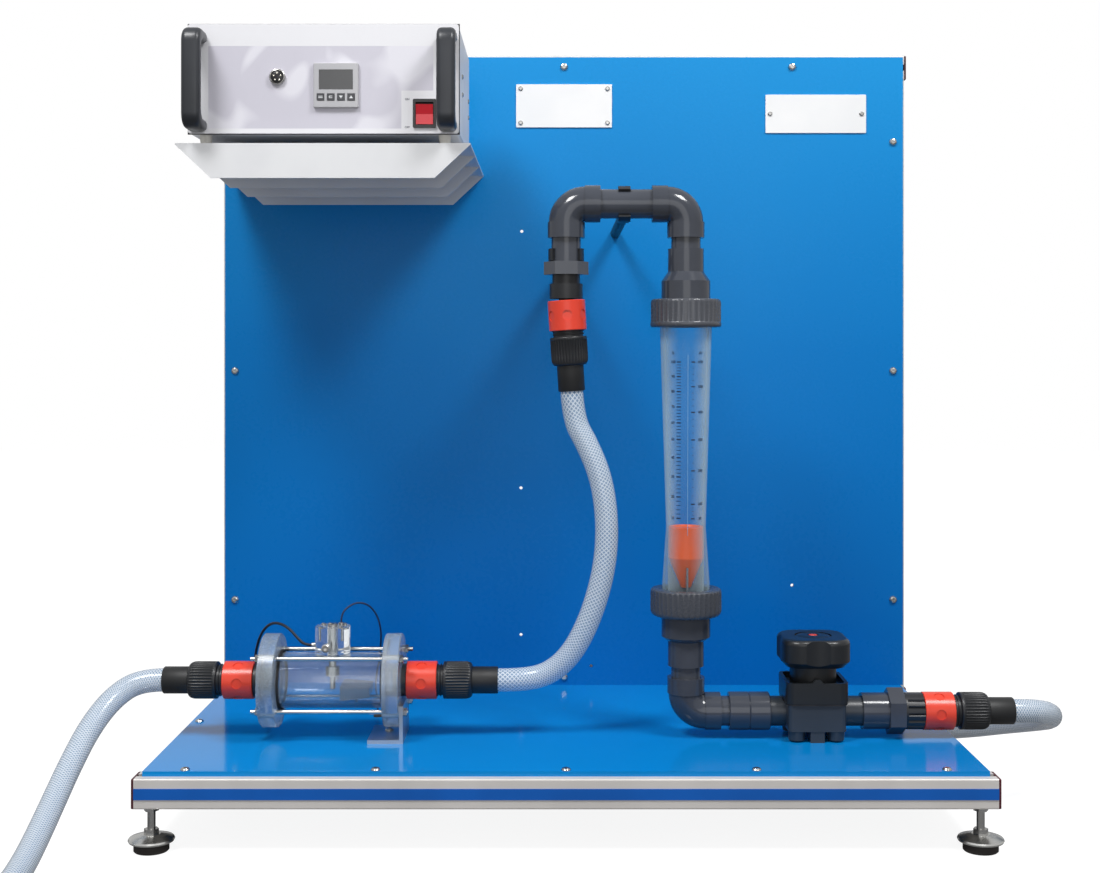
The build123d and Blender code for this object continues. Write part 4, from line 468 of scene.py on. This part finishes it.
routes = {
    "loopHose": [(-73, -70, 141), (-45, -70, 141), (-18, -72, 148), (4, -76, 167), (21, -79, 196),
                 (35, -81, 234), (44, -81, 276), (45, -80, 320), (38.5, -78, 362), (24, -74, 397),
                 (8.967, -70, 423.344), (7.044, -70, 454.785)],
    "inletHose": [(-435.5, -70, 141), (-462, -70, 141), (-486, -88, 126), (-501, -120, 102), (-508, -162, 74),
                  (-510, -208, 50), (-509, -255, 32), (-507, -300, 19.5), (-505.5, -345, 12.6)]
    + laidTurn((-370.5, -400), 195, 30, 3, 12.6, 0)
    + [(-310, -535, 12.6), (-240, -529, 12.6), (-170, -519, 12.6), (-100, -513, 13.8), (-40, -512, 15),
       (20, -512, 16.1), (69, -512, 16.1)],
    "outletHose": [(486, -70, 107.6), (506, -70, 107.6), (524, -62, 104), (537, -44, 96), (541, -18, 87),
                   (538, 12, 78), (529, 45, 68), (515, 80, 57), (499, 116, 45), (483, 152, 34), (469, 190, 23),
                   (463, 226, 15.5), (460, 268, 12.6), (458.6, 318, 12.6), (458.2, 365, 12.6)]
    + laidTurn((323, 415), 15, 30, 9, 12.6, 3.5) + [(338, 280, 16.1)],
    "leftLead": [(-275, -70, 179), (-283, -70, 179), (-291, -68, 186), (-300, -64, 195), (-311, -57, 200),
                 (-323, -47, 199), (-334, -36, 190), (-342, -24, 176), (-348, -12, 158), (-351, -1, 140),
                 (-350, 8, 122), (-344, 15, 106), (-337, 19, 93), (-336, 20, 84), (-336, 20, 76)],
    "rightLead": [(-243.9, -65.5, 203.1), (-243.9, -65.5, 210), (-239, -63, 218), (-228, -57, 223.5), (-216, -51, 220),
                  (-207, -44, 207), (-203.5, -36, 187), (-206, -25, 163), (-211, -12, 140), (-214, 1, 120),
                  (-215, 12, 103), (-214, 19, 90), (-214, 20, 83), (-214, 20, 76)],
}
cordFacts = {
    "loopHose": {"node": "loop_hose", "diameter": 25, "length": 387, "end": "object", "lay": "hanging"},
    "inletHose": {"node": "inlet_hose", "diameter": 25, "length": 1054, "end": "fitting", "lay": "loose"},
    "outletHose": {"node": "outlet_hose", "diameter": 25, "length": 1200, "end": "fitting", "lay": "loose"},
    "leftLead": {"node": "wire_left", "diameter": 3, "length": 213, "end": "object", "lay": "hanging"},
    "rightLead": {"node": "wire_right", "diameter": 2, "length": 208, "end": "object", "lay": "hanging"},
}


def laySpline(name, points, diameter):
    curve = bpy.data.curves.new(name, "CURVE")
    curve.dimensions = "3D"
    spline = curve.splines.new("NURBS")
    spline.points.add(len(points) - 1)
    for controlPoint, place in zip(spline.points, points):
        controlPoint.co = (*mm(*place), 1.0)
    spline.order_u = 3
    spline.use_endpoint_u = True
    curve.resolution_u = 10
    curve.bevel_depth = diameter / 2000
    curve.bevel_resolution = 8
    curve.use_fill_caps = True
    piece = bpy.data.objects.new(name, curve)
    bpy.context.scene.collection.objects.link(piece)
    return piece


for name, facts in cordFacts.items():
    piece = laySpline(name, routes[name], facts["diameter"])
    if "Hose" in name:
        piece.data.materials.append(makeHoseFinish(name + "Pvc", facts["length"]))
    else:
        piece.data.materials.append(finish["leadSheath" if name == "leftLead" else "blueSheath"])
    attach(piece, "root")
    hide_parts(facts["node"])

# Hose connectors: sleeve seat, grooved neck, ribbed clamping nut with a rounded end, rubber tail
connectorShape = {
    "body": [(8.05, 0.5), (17.0, 0.5), (17.5, 1.0), (17.5, 34), (16.4, 34.6), (16.3, 36.2), (17.4, 36.8),
             (17.4, 37.3), (16.3, 37.9), (16.3, 40.2), (8.05, 40.2)],
    "nut": [(15.2, 40), (19.2, 40), (19.8, 40.5), (20, 41.4), (20, 43.2), (20, 44), (20, 63), (19.9, 65),
            (19.5, 67), (18.7, 69), (17.6, 70.4), (16.6, 71), (15.2, 71)],
    "tail": [(12.7, 60), (14.2, 60), (14.5, 61), (14.5, 98.2), (13.9, 99), (12.9, 99), (12.7, 98.4)],
    "ribs": 40, "ribDepth": 0.8, "ribZone": (43.5, 68),
}
connectorSites = {
    "inlet": (mm(-336.5, -70, 141), Vector((-1, 0, 0))),
    "meter": (mm(-172, -70, 141), Vector((1, 0, 0))),
    "upper": (mm(1, -70, 553.6), tiltWay),
    "outlet": (mm(387, -70, 107.6), Vector((1, 0, 0))),
}
for name, (place, way) in connectorSites.items():
    body = turnedMesh(name + "ConnectorBody", place, way, connectorShape["body"])
    piece = makePiece(name + "ConnectorBody", body, finish["blackPolypropylene"], "root",
                      ["hose_connectors"])
    sharpen(piece)
    nut = turnedMesh(name + "ConnectorNut", place, way, connectorShape["nut"], connectorShape["ribs"],
                     connectorShape["ribDepth"], connectorShape["ribZone"], around=40 * 8, ribShape=0.7)
    piece = makePiece(name + "ConnectorNut", nut, finish["blackPolypropylene"], "root")
    sharpen(piece, 50)
    tail = turnedMesh(name + "ConnectorTail", place, way, connectorShape["tail"])
    piece = makePiece(name + "ConnectorTail", tail, finish["tailRubber"], "root")
    sharpen(piece, 50)

# Free hose ends: rubber tail, ribbed nut and a threaded spigot
freeEnd = {
    "tail": [(12.7, 0), (14, 0), (14.5, 0.6), (14.5, 16.5), (12.7, 16.5)],
    "nut": [(8, 16), (15, 16), (15.8, 16.6), (16, 17.4), (16, 35), (15.6, 37), (14.6, 38), (8, 38)],
    "ribs": 20, "ribDepth": 0.8, "ribZone": (17.5, 35.5), "threads": 7, "pitch": 1.8,
}
threadProfile = [(7, 30), (11, 38), (11, 38.6)]
for i in range(freeEnd["threads"]):
    level = 38.8 + i * freeEnd["pitch"]
    threadProfile += [(11.1, level), (11.95, level + 0.6), (11.95, level + 0.9), (11.1, level + 1.5)]
threadProfile += [(11, 51.6), (10.4, 52), (7, 52)]
for name, place in (("inletEnd", mm(69, -512, 16.1)), ("outletEnd", mm(338, 280, 16.1))):
    way = Vector((1, 0, 0))
    parts = []
    tail = turnedMesh(name + "Tail", place, way, freeEnd["tail"])
    parts.append(makePiece(name + "Tail", tail, finish["tailRubber"], "root"))
    nut = turnedMesh(name + "Nut", place, way, freeEnd["nut"], freeEnd["ribs"], freeEnd["ribDepth"],
                     freeEnd["ribZone"], around=160, ribShape=0.7)
    parts.append(makePiece(name + "Nut", nut, finish["blackPolypropylene"], "root"))
    thread = turnedMesh(name + "Thread", place, way, threadProfile)
    parts.append(makePiece(name + "Thread", thread, finish["blackPolypropylene"], "root",
                           ["hose_connectors"]))
    for piece in parts:
        sharpen(piece, 50)
print("connectors made")

# Union nuts with close ribs between a plain rim above and below
unionNuts = {
    "upper": [(28.5, 444), (36.6, 444), (37.9, 444.6), (38.5, 446), (38.5, 448.6), (38.0, 449.6), (38.0, 450),
              (38.0, 470.5), (37.4, 473), (36, 474.4), (34.6, 474.5), (32.1, 474.5), (32.1, 448), (28.5, 448)],
    "lower": [(32.1, 131.6), (33.6, 131.6), (35.6, 132.2), (37.2, 133.8), (38.2, 136.2), (38.5, 139), (38.5, 157),
              (38.0, 159.4), (36.6, 160.6), (26.1, 160.6), (26.1, 156.6), (32.1, 156.6)],
}
ribBands = {"upper": (450, 471), "lower": (136, 157.5)}
legBottom = mm(131, -70, 80)
for name, profile in unionNuts.items():
    nut = turnedMesh(name + "UnionNut", legBottom, (0, 0, 1), profile, 40, 0.8, ribBands[name], around=320,
                     ribShape=0.6)
    piece = makePiece(name + "UnionNut", nut, finish["pvcNut"], "root",
                      ["union_nuts"])
    sharpen(piece, 50)
print("union nuts made")

# Bow handles: a bar bent twice, with soft edges
handle = {"width": 20, "reach": 40, "bar": 13, "height": 107, "bend": 16, "soft": 5.2, "low": 732,
          "centres": (-392.5, -125.5), "front": -95}


def arcPoints(centre, radius, first, last, count):
    return [(centre[0] + radius * math.cos(math.radians(first + (last - first) * i / count)),
             centre[1] + radius * math.sin(math.radians(first + (last - first) * i / count)))
            for i in range(count + 1)]


def bowOutline():
    reach, bar, height, bend = handle["reach"], handle["bar"], handle["height"], handle["bend"]
    inner = bend - bar / 2
    outline = [(0, 0)] + arcPoints((reach - bend, bend), bend, -90, 0, 8)
    outline += arcPoints((reach - bend, height - bend), bend, 0, 90, 8) + [(0, height), (0, height - bar)]
    outline += arcPoints((reach - bar - inner, height - bar - inner), inner, 90, 0, 6)
    outline += arcPoints((reach - bar - inner, bar + inner), inner, 0, -90, 6) + [(0, bar)]
    return outline


outline = bowOutline()
for side, centre in zip(("left", "right"), handle["centres"]):
    points, faces = [], []
    count = len(outline)
    for x in (centre - handle["width"] / 2, centre + handle["width"] / 2):
        points += [mm(x, handle["front"] - reach, handle["low"] + up) for reach, up in outline]
    half = count // 2
    for i in range(count):
        faces.append((i, (i + 1) % count, count + (i + 1) % count, count + i))
    faces.append(tuple(range(count)))
    faces.append(tuple(range(2 * count - 1, count - 1, -1)))
    piece = makePiece(side + "Handle", meshFrom(side + "Handle", points, faces), finish["blackPolyamide"], "root",
                      ["console_handles"])
    softer = piece.modifiers.new("softEdges", "BEVEL")
    softer.width = handle["soft"] / 1000
    softer.segments = 5
    softer.limit_method = "ANGLE"
    softer.angle_limit = math.radians(50)
    softer.harden_normals = False
print("handles made")

# Painted shade: a dark strip between the console's case and fascia stands for the shaded gap there, seen as a line
# round the front
shadowGapStrip = {"left": -404, "right": -114, "low": 731, "high": 848, "proud": 0.8, "inset": 3, "front": -91.8,
          "back": -90.6}
points, faces = [], []
for y in (shadowGapStrip["front"], shadowGapStrip["back"]):
    for grow in (shadowGapStrip["proud"], -shadowGapStrip["inset"]):
        for x, z in ((shadowGapStrip["left"] - grow, shadowGapStrip["low"] - grow), (shadowGapStrip["right"] + grow, shadowGapStrip["low"] - grow),
                     (shadowGapStrip["right"] + grow, shadowGapStrip["high"] + grow), (shadowGapStrip["left"] - grow, shadowGapStrip["high"] + grow)):
            points.append(mm(x, y, z))
for i in range(4):
    j = (i + 1) % 4
    faces += [(i, j, 4 + j, 4 + i), (8 + i, 12 + i, 12 + j, 8 + j), (i, 8 + i, 8 + j, j),
              (4 + i, 4 + j, 12 + j, 12 + i)]
# painted shade: this dark strip stands for the shaded gap round the fascia
makePiece("consoleShadowGapStrip", meshFrom("consoleShadowGapStrip", points, faces), finish["blackRubberAndPaintedShade"], "root",
          smooth=False)

# Round sensor socket: nickel flange ring and black insert with five plated pins
socketShape = {"x": -307.9, "front": -95, "z": 791.2, "circle": 3.9, "pins": 5,
               "ring": [(6.5, 0), (8.6, 0), (8.6, 2.6), (8.1, 3.3), (7.2, 3.5), (6.5, 2.6)],
               "insert": [(0.05, 0.2), (6.6, 0.2), (6.6, 2.2), (6.2, 2.5), (0.05, 2.5)],
               "pin": [(0.05, 2.3), (0.95, 2.3), (0.95, 3.0), (0.6, 3.3), (0.05, 3.3)]}
toFront = Vector((0, -1, 0))
socketCentre = mm(socketShape["x"], socketShape["front"], socketShape["z"])
ring = makePiece("socketRing", turnedMesh("socketRing", socketCentre, toFront, socketShape["ring"]),
                 finish["stainlessSteel"], "root", ["sensor_socket"])
insert = makePiece("socketInsert", turnedMesh("socketInsert", socketCentre, toFront, socketShape["insert"]),
                   finish["blackAbs"], "root", ["sensor_socket"])
for piece in (ring, insert):
    sharpen(piece, 50)
for i in range(socketShape["pins"]):
    angle = math.radians(90 + 360 * i / socketShape["pins"])
    spot = socketCentre + mm(socketShape["circle"] * math.cos(angle), 0, socketShape["circle"] * math.sin(angle))
    pin = turnedMesh("socketPin" + str(i + 1), spot, toFront, socketShape["pin"], around=24)
    makePiece("socketPin" + str(i + 1), pin, finish["platedPins"], "root", ["socket_pins"])

# Rosette in the hand wheel's recess, domed round the indicator
rosette = {"x": 269, "y": -70, "z": 184.9,
           "shape": [(5.6, 0.3), (19.7, 0.3), (19.7, 3.4), (17.5, 4.6), (12, 5.4), (7.2, 5.6), (5.8, 5.2)]}
disc = turnedMesh("wheelRosette", mm(rosette["x"], rosette["y"], rosette["z"]), (0, 0, 1), rosette["shape"])
sharpen(makePiece("wheelRosette", disc, finish["valveBlack"], "handwheel"), 50)
tipShape = [(0.05, 0), (4.6, 0), (4.6, 4.9), (4.1, 5.5), (0.05, 5.9)]
tip = turnedMesh("indicatorTip", mm(rosette["x"], rosette["y"], rosette["z"]), (0, 0, 1), tipShape, around=48)
sharpen(makePiece("indicatorTip", tip, finish["redIndicator"], "spindle"), 50)
print("socket and rosette made")

# Printed scales on the tapered tube, which follow its outside
scalePrint = {
    "axis": (131, -70), "foot": 80, "lowHeight": 228, "lowRadius": 21.5, "highHeight": 441, "highRadius": 28,
    "leftMajors": [(486.4, "100"), (470.8, "90"), (454.7, "80"), (438.3, "70"), (421.2, "60"), (403.4, "50"),
                   (383.7, "40"), (363.1, "30"), (341.7, "20"), (318.6, "10")],
    "rightMajors": [(486.4, "600"), (460.0, "500"), (432.6, "400"), (403.0, "300"), (369.8, "200"),
                    (333.9, "100"), (318.3, "50")],
    "leftTick": (-11.8, -7.4), "rightTick": (3.6, 7.6), "leftNumber": -15.4, "rightNumber": 13.6,
    "numberSize": 4.1, "tickHeight": 1.3, "minorHeight": 0.6, "lift": 0.12,
}


def tubeRadius(height):
    up = (height - scalePrint["foot"] - scalePrint["lowHeight"]) / (scalePrint["highHeight"]
                                                                    - scalePrint["lowHeight"])
    return scalePrint["lowRadius"] + up * (scalePrint["highRadius"] - scalePrint["lowRadius"])


def onTube(sideways, height, lift):
    radius = tubeRadius(height)
    angle = math.asin(max(-0.99, min(0.99, sideways / radius)))
    return mm(scalePrint["axis"][0] + (radius + lift) * math.sin(angle),
              scalePrint["axis"][1] - (radius + lift) * math.cos(angle), height)


def tickMesh(ticks):
    points, faces = [], []
    steps = 4
    for first, last, height, thick in ticks:
        for i in range(steps):
            left = first + (last - first) * i / steps
            right = first + (last - first) * (i + 1) / steps
            start = len(points)
            for lift in (scalePrint["lift"], scalePrint["lift"] - 0.1):
                points += [onTube(left, height - thick / 2, lift), onTube(right, height - thick / 2, lift),
                           onTube(right, height + thick / 2, lift), onTube(left, height + thick / 2, lift)]
            faces += [tuple(start + k for k in face) for face in
                      ((0, 1, 2, 3), (7, 6, 5, 4), (0, 4, 5, 1), (2, 6, 7, 3), (1, 5, 6, 2), (3, 7, 4, 0))]
    return points, faces


ticks = []
for majors, (first, last), parts in ((scalePrint["leftMajors"], scalePrint["leftTick"], 5),
                                     (scalePrint["rightMajors"], scalePrint["rightTick"], 4)):
    for (height, _), (lower, _) in zip(majors, majors[1:]):
        for i in range(1, parts):
            level = height + (lower - height) * i / parts
            short = (last - first) * 0.3
            ticks.append((first + (short if first > 0 else 0), last - (short if first > 0 else -0.0), level,
                          scalePrint["minorHeight"]))
    for height, _ in majors:
        ticks.append((first, last, height, scalePrint["tickHeight"]))
# a pale line down the front of the tapered tube, drawn as a column of short strips
for level in range(300, 494, 2):
    ticks.append((-0.22, 0.22, level + 1, 2.0))
frontLineTicks = ticks[-97:]
points, faces = tickMesh(ticks[:-97])
makePiece("scaleTicks", meshFrom("scaleTicks", points, faces), finish["printInk"], "root",
          smooth=False)


points, faces = tickMesh(frontLineTicks)
makePiece("tubeFrontLine", meshFrom("tubeFrontLine", points, faces), finish["paleFrontLine"], "root", smooth=False)


def addText(name, words, size, place, material, body, turn=0.0, thick=0.05, align="CENTER"):
    text = bpy.data.curves.new(name, "FONT")
    text.body = words
    text.size = size / 1000
    text.extrude = thick / 1000
    text.align_x = align
    text.align_y = "CENTER"
    text.offset = size * 0.00002
    piece = bpy.data.objects.new(name, text)
    bpy.context.scene.collection.objects.link(piece)
    piece.location = place
    piece.rotation_euler = (math.radians(90), 0, turn)
    text.materials.append(material)
    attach(piece, body)
    return piece


for side, number in (("left", "leftNumber"), ("right", "rightNumber")):
    sideways = scalePrint[number]
    labels = scalePrint[side + "Majors"] + [(496.0, "%" if side == "left" else "l/h")]
    for height, words in labels:
        angle = math.asin(sideways / tubeRadius(height))
        addText(side + "Number" + str(len(bpy.data.objects)), words, scalePrint["numberSize"],
                onTube(sideways, height, 0.25), finish["printInk"], "root", turn=angle)
print("scales printed:", len(ticks), "ticks")

# ON and OFF beside the rocker
for words, height in (("ON", 767.5), ("OFF", 737.5)):
    addText("switchWord" + words, words, 3.0, mm(-169.2, -95.06, height), finish["printInk"], "root")

# Signs on the four keys: two bars, a loop square, a down and an up arrow
keySigns = {
    "1": [[(-2.2, 0.4), (2.2, 0.4), (2.2, 1.1), (-2.2, 1.1)], [(-2.2, -1.1), (2.2, -1.1), (2.2, -0.4), (-2.2, -0.4)]],
    "2": [[(-1.8, -1.2), (1.8, -1.2), (1.8, -0.6), (-1.8, -0.6)], [(-1.8, 0.6), (1.8, 0.6), (1.8, 1.2), (-1.8, 1.2)],
          [(-1.8, -0.6), (-1.2, -0.6), (-1.2, 0.6), (-1.8, 0.6)]],
    "3": [[(0, -1.5), (2.0, 1.4), (-2.0, 1.4)]],
    "4": [[(-2.0, -1.4), (2.0, -1.4), (0, 1.5)]],
}
keyPlace = {"x": -245.0, "z": 769.3, "pitch": 10.9, "front": -99.5}
for number, shapes in keySigns.items():
    centreX = keyPlace["x"] + keyPlace["pitch"] * (int(number) - 2.5)
    points, faces = [], []
    for shape in shapes:
        start, count = len(points), len(shape)
        for depth in (0.06, -0.04):
            points += [mm(centreX + x, keyPlace["front"] - depth, keyPlace["z"] + z) for x, z in shape]
        faces.append(tuple(start + k for k in range(count)))
        faces.append(tuple(start + count + k for k in reversed(range(count))))
        for k in range(count):
            after = (k + 1) % count
            faces.append((start + k, start + count + k, start + count + after, start + after))
    makePiece("keySign" + number, meshFrom("keySign" + number, points, faces), finish["whitePrint"],
              "key_" + number, smooth=False)
print("prints made")

# Soft edges on the sheet, plate and moulded nodes, as real ones have
softNodes = {"base_plate": 0.5, "back_panel": 0.5, "name_plates": 0.25, "console_shelf": 0.4, "console_case": 0.5,
             "console_fascia": 0.5, "valve_bonnet": 1.2, "valve_body": 0.8, "meter_bracket": 0.5,
             "pipe_clips": 0.5, "end_flanges": 0.3, "corner_brackets": 0.5, "power_rocker": 0.5,
             "handwheel": 0.8}
for name, width in softNodes.items():
    softer = nodes[name].modifiers.new("softEdges", "BEVEL")
    softer.width = width / 1000
    softer.segments = 2
    softer.limit_method = "ANGLE"
    softer.angle_limit = math.radians(50)
    softer.use_clamp_overlap = True
print("edges softened")

# White floor and room, two soft ceiling lamps
floorSize = 6.0
floorMesh = meshFrom("floor", [(-floorSize, -floorSize, 0), (floorSize, -floorSize, 0), (floorSize, floorSize, 0),
                               (-floorSize, floorSize, 0)], [(0, 1, 2, 3)])
floor = bpy.data.objects.new("floor", floorMesh)
bpy.context.scene.collection.objects.link(floor)
floorFinish, tree, shader = startMaterial("paleFloor")
shader.inputs["Base Color"].default_value = hexToLinear("#7C7C7C")
shader.inputs["Roughness"].default_value = 0.9
shader.inputs["Emission Color"].default_value = (1, 1, 1, 1)
path = addNode(tree, "LightPath")
seen = addNode(tree, "Math", {"operation": "MAXIMUM"},
               {0: path.outputs["Is Camera Ray"], 1: path.outputs["Is Transmission Ray"]})
seen = addNode(tree, "Math", {"operation": "MULTIPLY"}, {0: seen.outputs[0], 1: 0.9})
tree.links.new(seen.outputs[0], shader.inputs["Emission Strength"])
floorMesh.materials.append(floorFinish)

world = bpy.data.worlds.new("whiteRoom")
bpy.context.scene.world = world
world.use_nodes = True
tree = world.node_tree
tree.nodes.clear()
path = addNode(tree, "LightPath")
seen = addNode(tree, "Math", {"operation": "MAXIMUM"},
               {0: path.outputs["Is Camera Ray"], 1: path.outputs["Is Transmission Ray"]})
mirrored = addNode(tree, "Math", {"operation": "MULTIPLY"}, {0: path.outputs["Is Glossy Ray"], 1: 0.4})
seen = addNode(tree, "Math", {"operation": "MAXIMUM"}, {0: seen.outputs[0], 1: mirrored.outputs[0]})
strength = addNode(tree, "MapRange", None, {0: seen.outputs[0], 3: 0.35, 4: 1.0})
back = addNode(tree, "Background", None, {"Color": (1, 1, 1, 1), "Strength": strength.outputs[0]})
addNode(tree, "OutputWorld", None, {"Surface": back.outputs[0]})

lamps = {
    "leftLamp": {"place": mm(-900, -1150, 2300), "aim": mm(-50, 100, 350), "size": 0.6, "watts": 33},
    "rightLamp": {"place": mm(1050, -1000, 2300), "aim": mm(100, 100, 350), "size": 0.6, "watts": 33},
}
lamps["frontFill"] = {"place": mm(100, -2700, 900), "aim": mm(0, 100, 350), "size": 1.6, "watts": 9}
for name, values in lamps.items():
    data = bpy.data.lights.new(name, "AREA")
    data.shape = "SQUARE"
    data.size = values["size"]
    data.energy = values["watts"]
    lamp = bpy.data.objects.new(name, data)
    lamp.location = values["place"]
    lamp.rotation_euler = (values["aim"] - values["place"]).to_track_quat("-Z", "Y").to_euler()
    bpy.context.scene.collection.objects.link(lamp)
print("room lit")
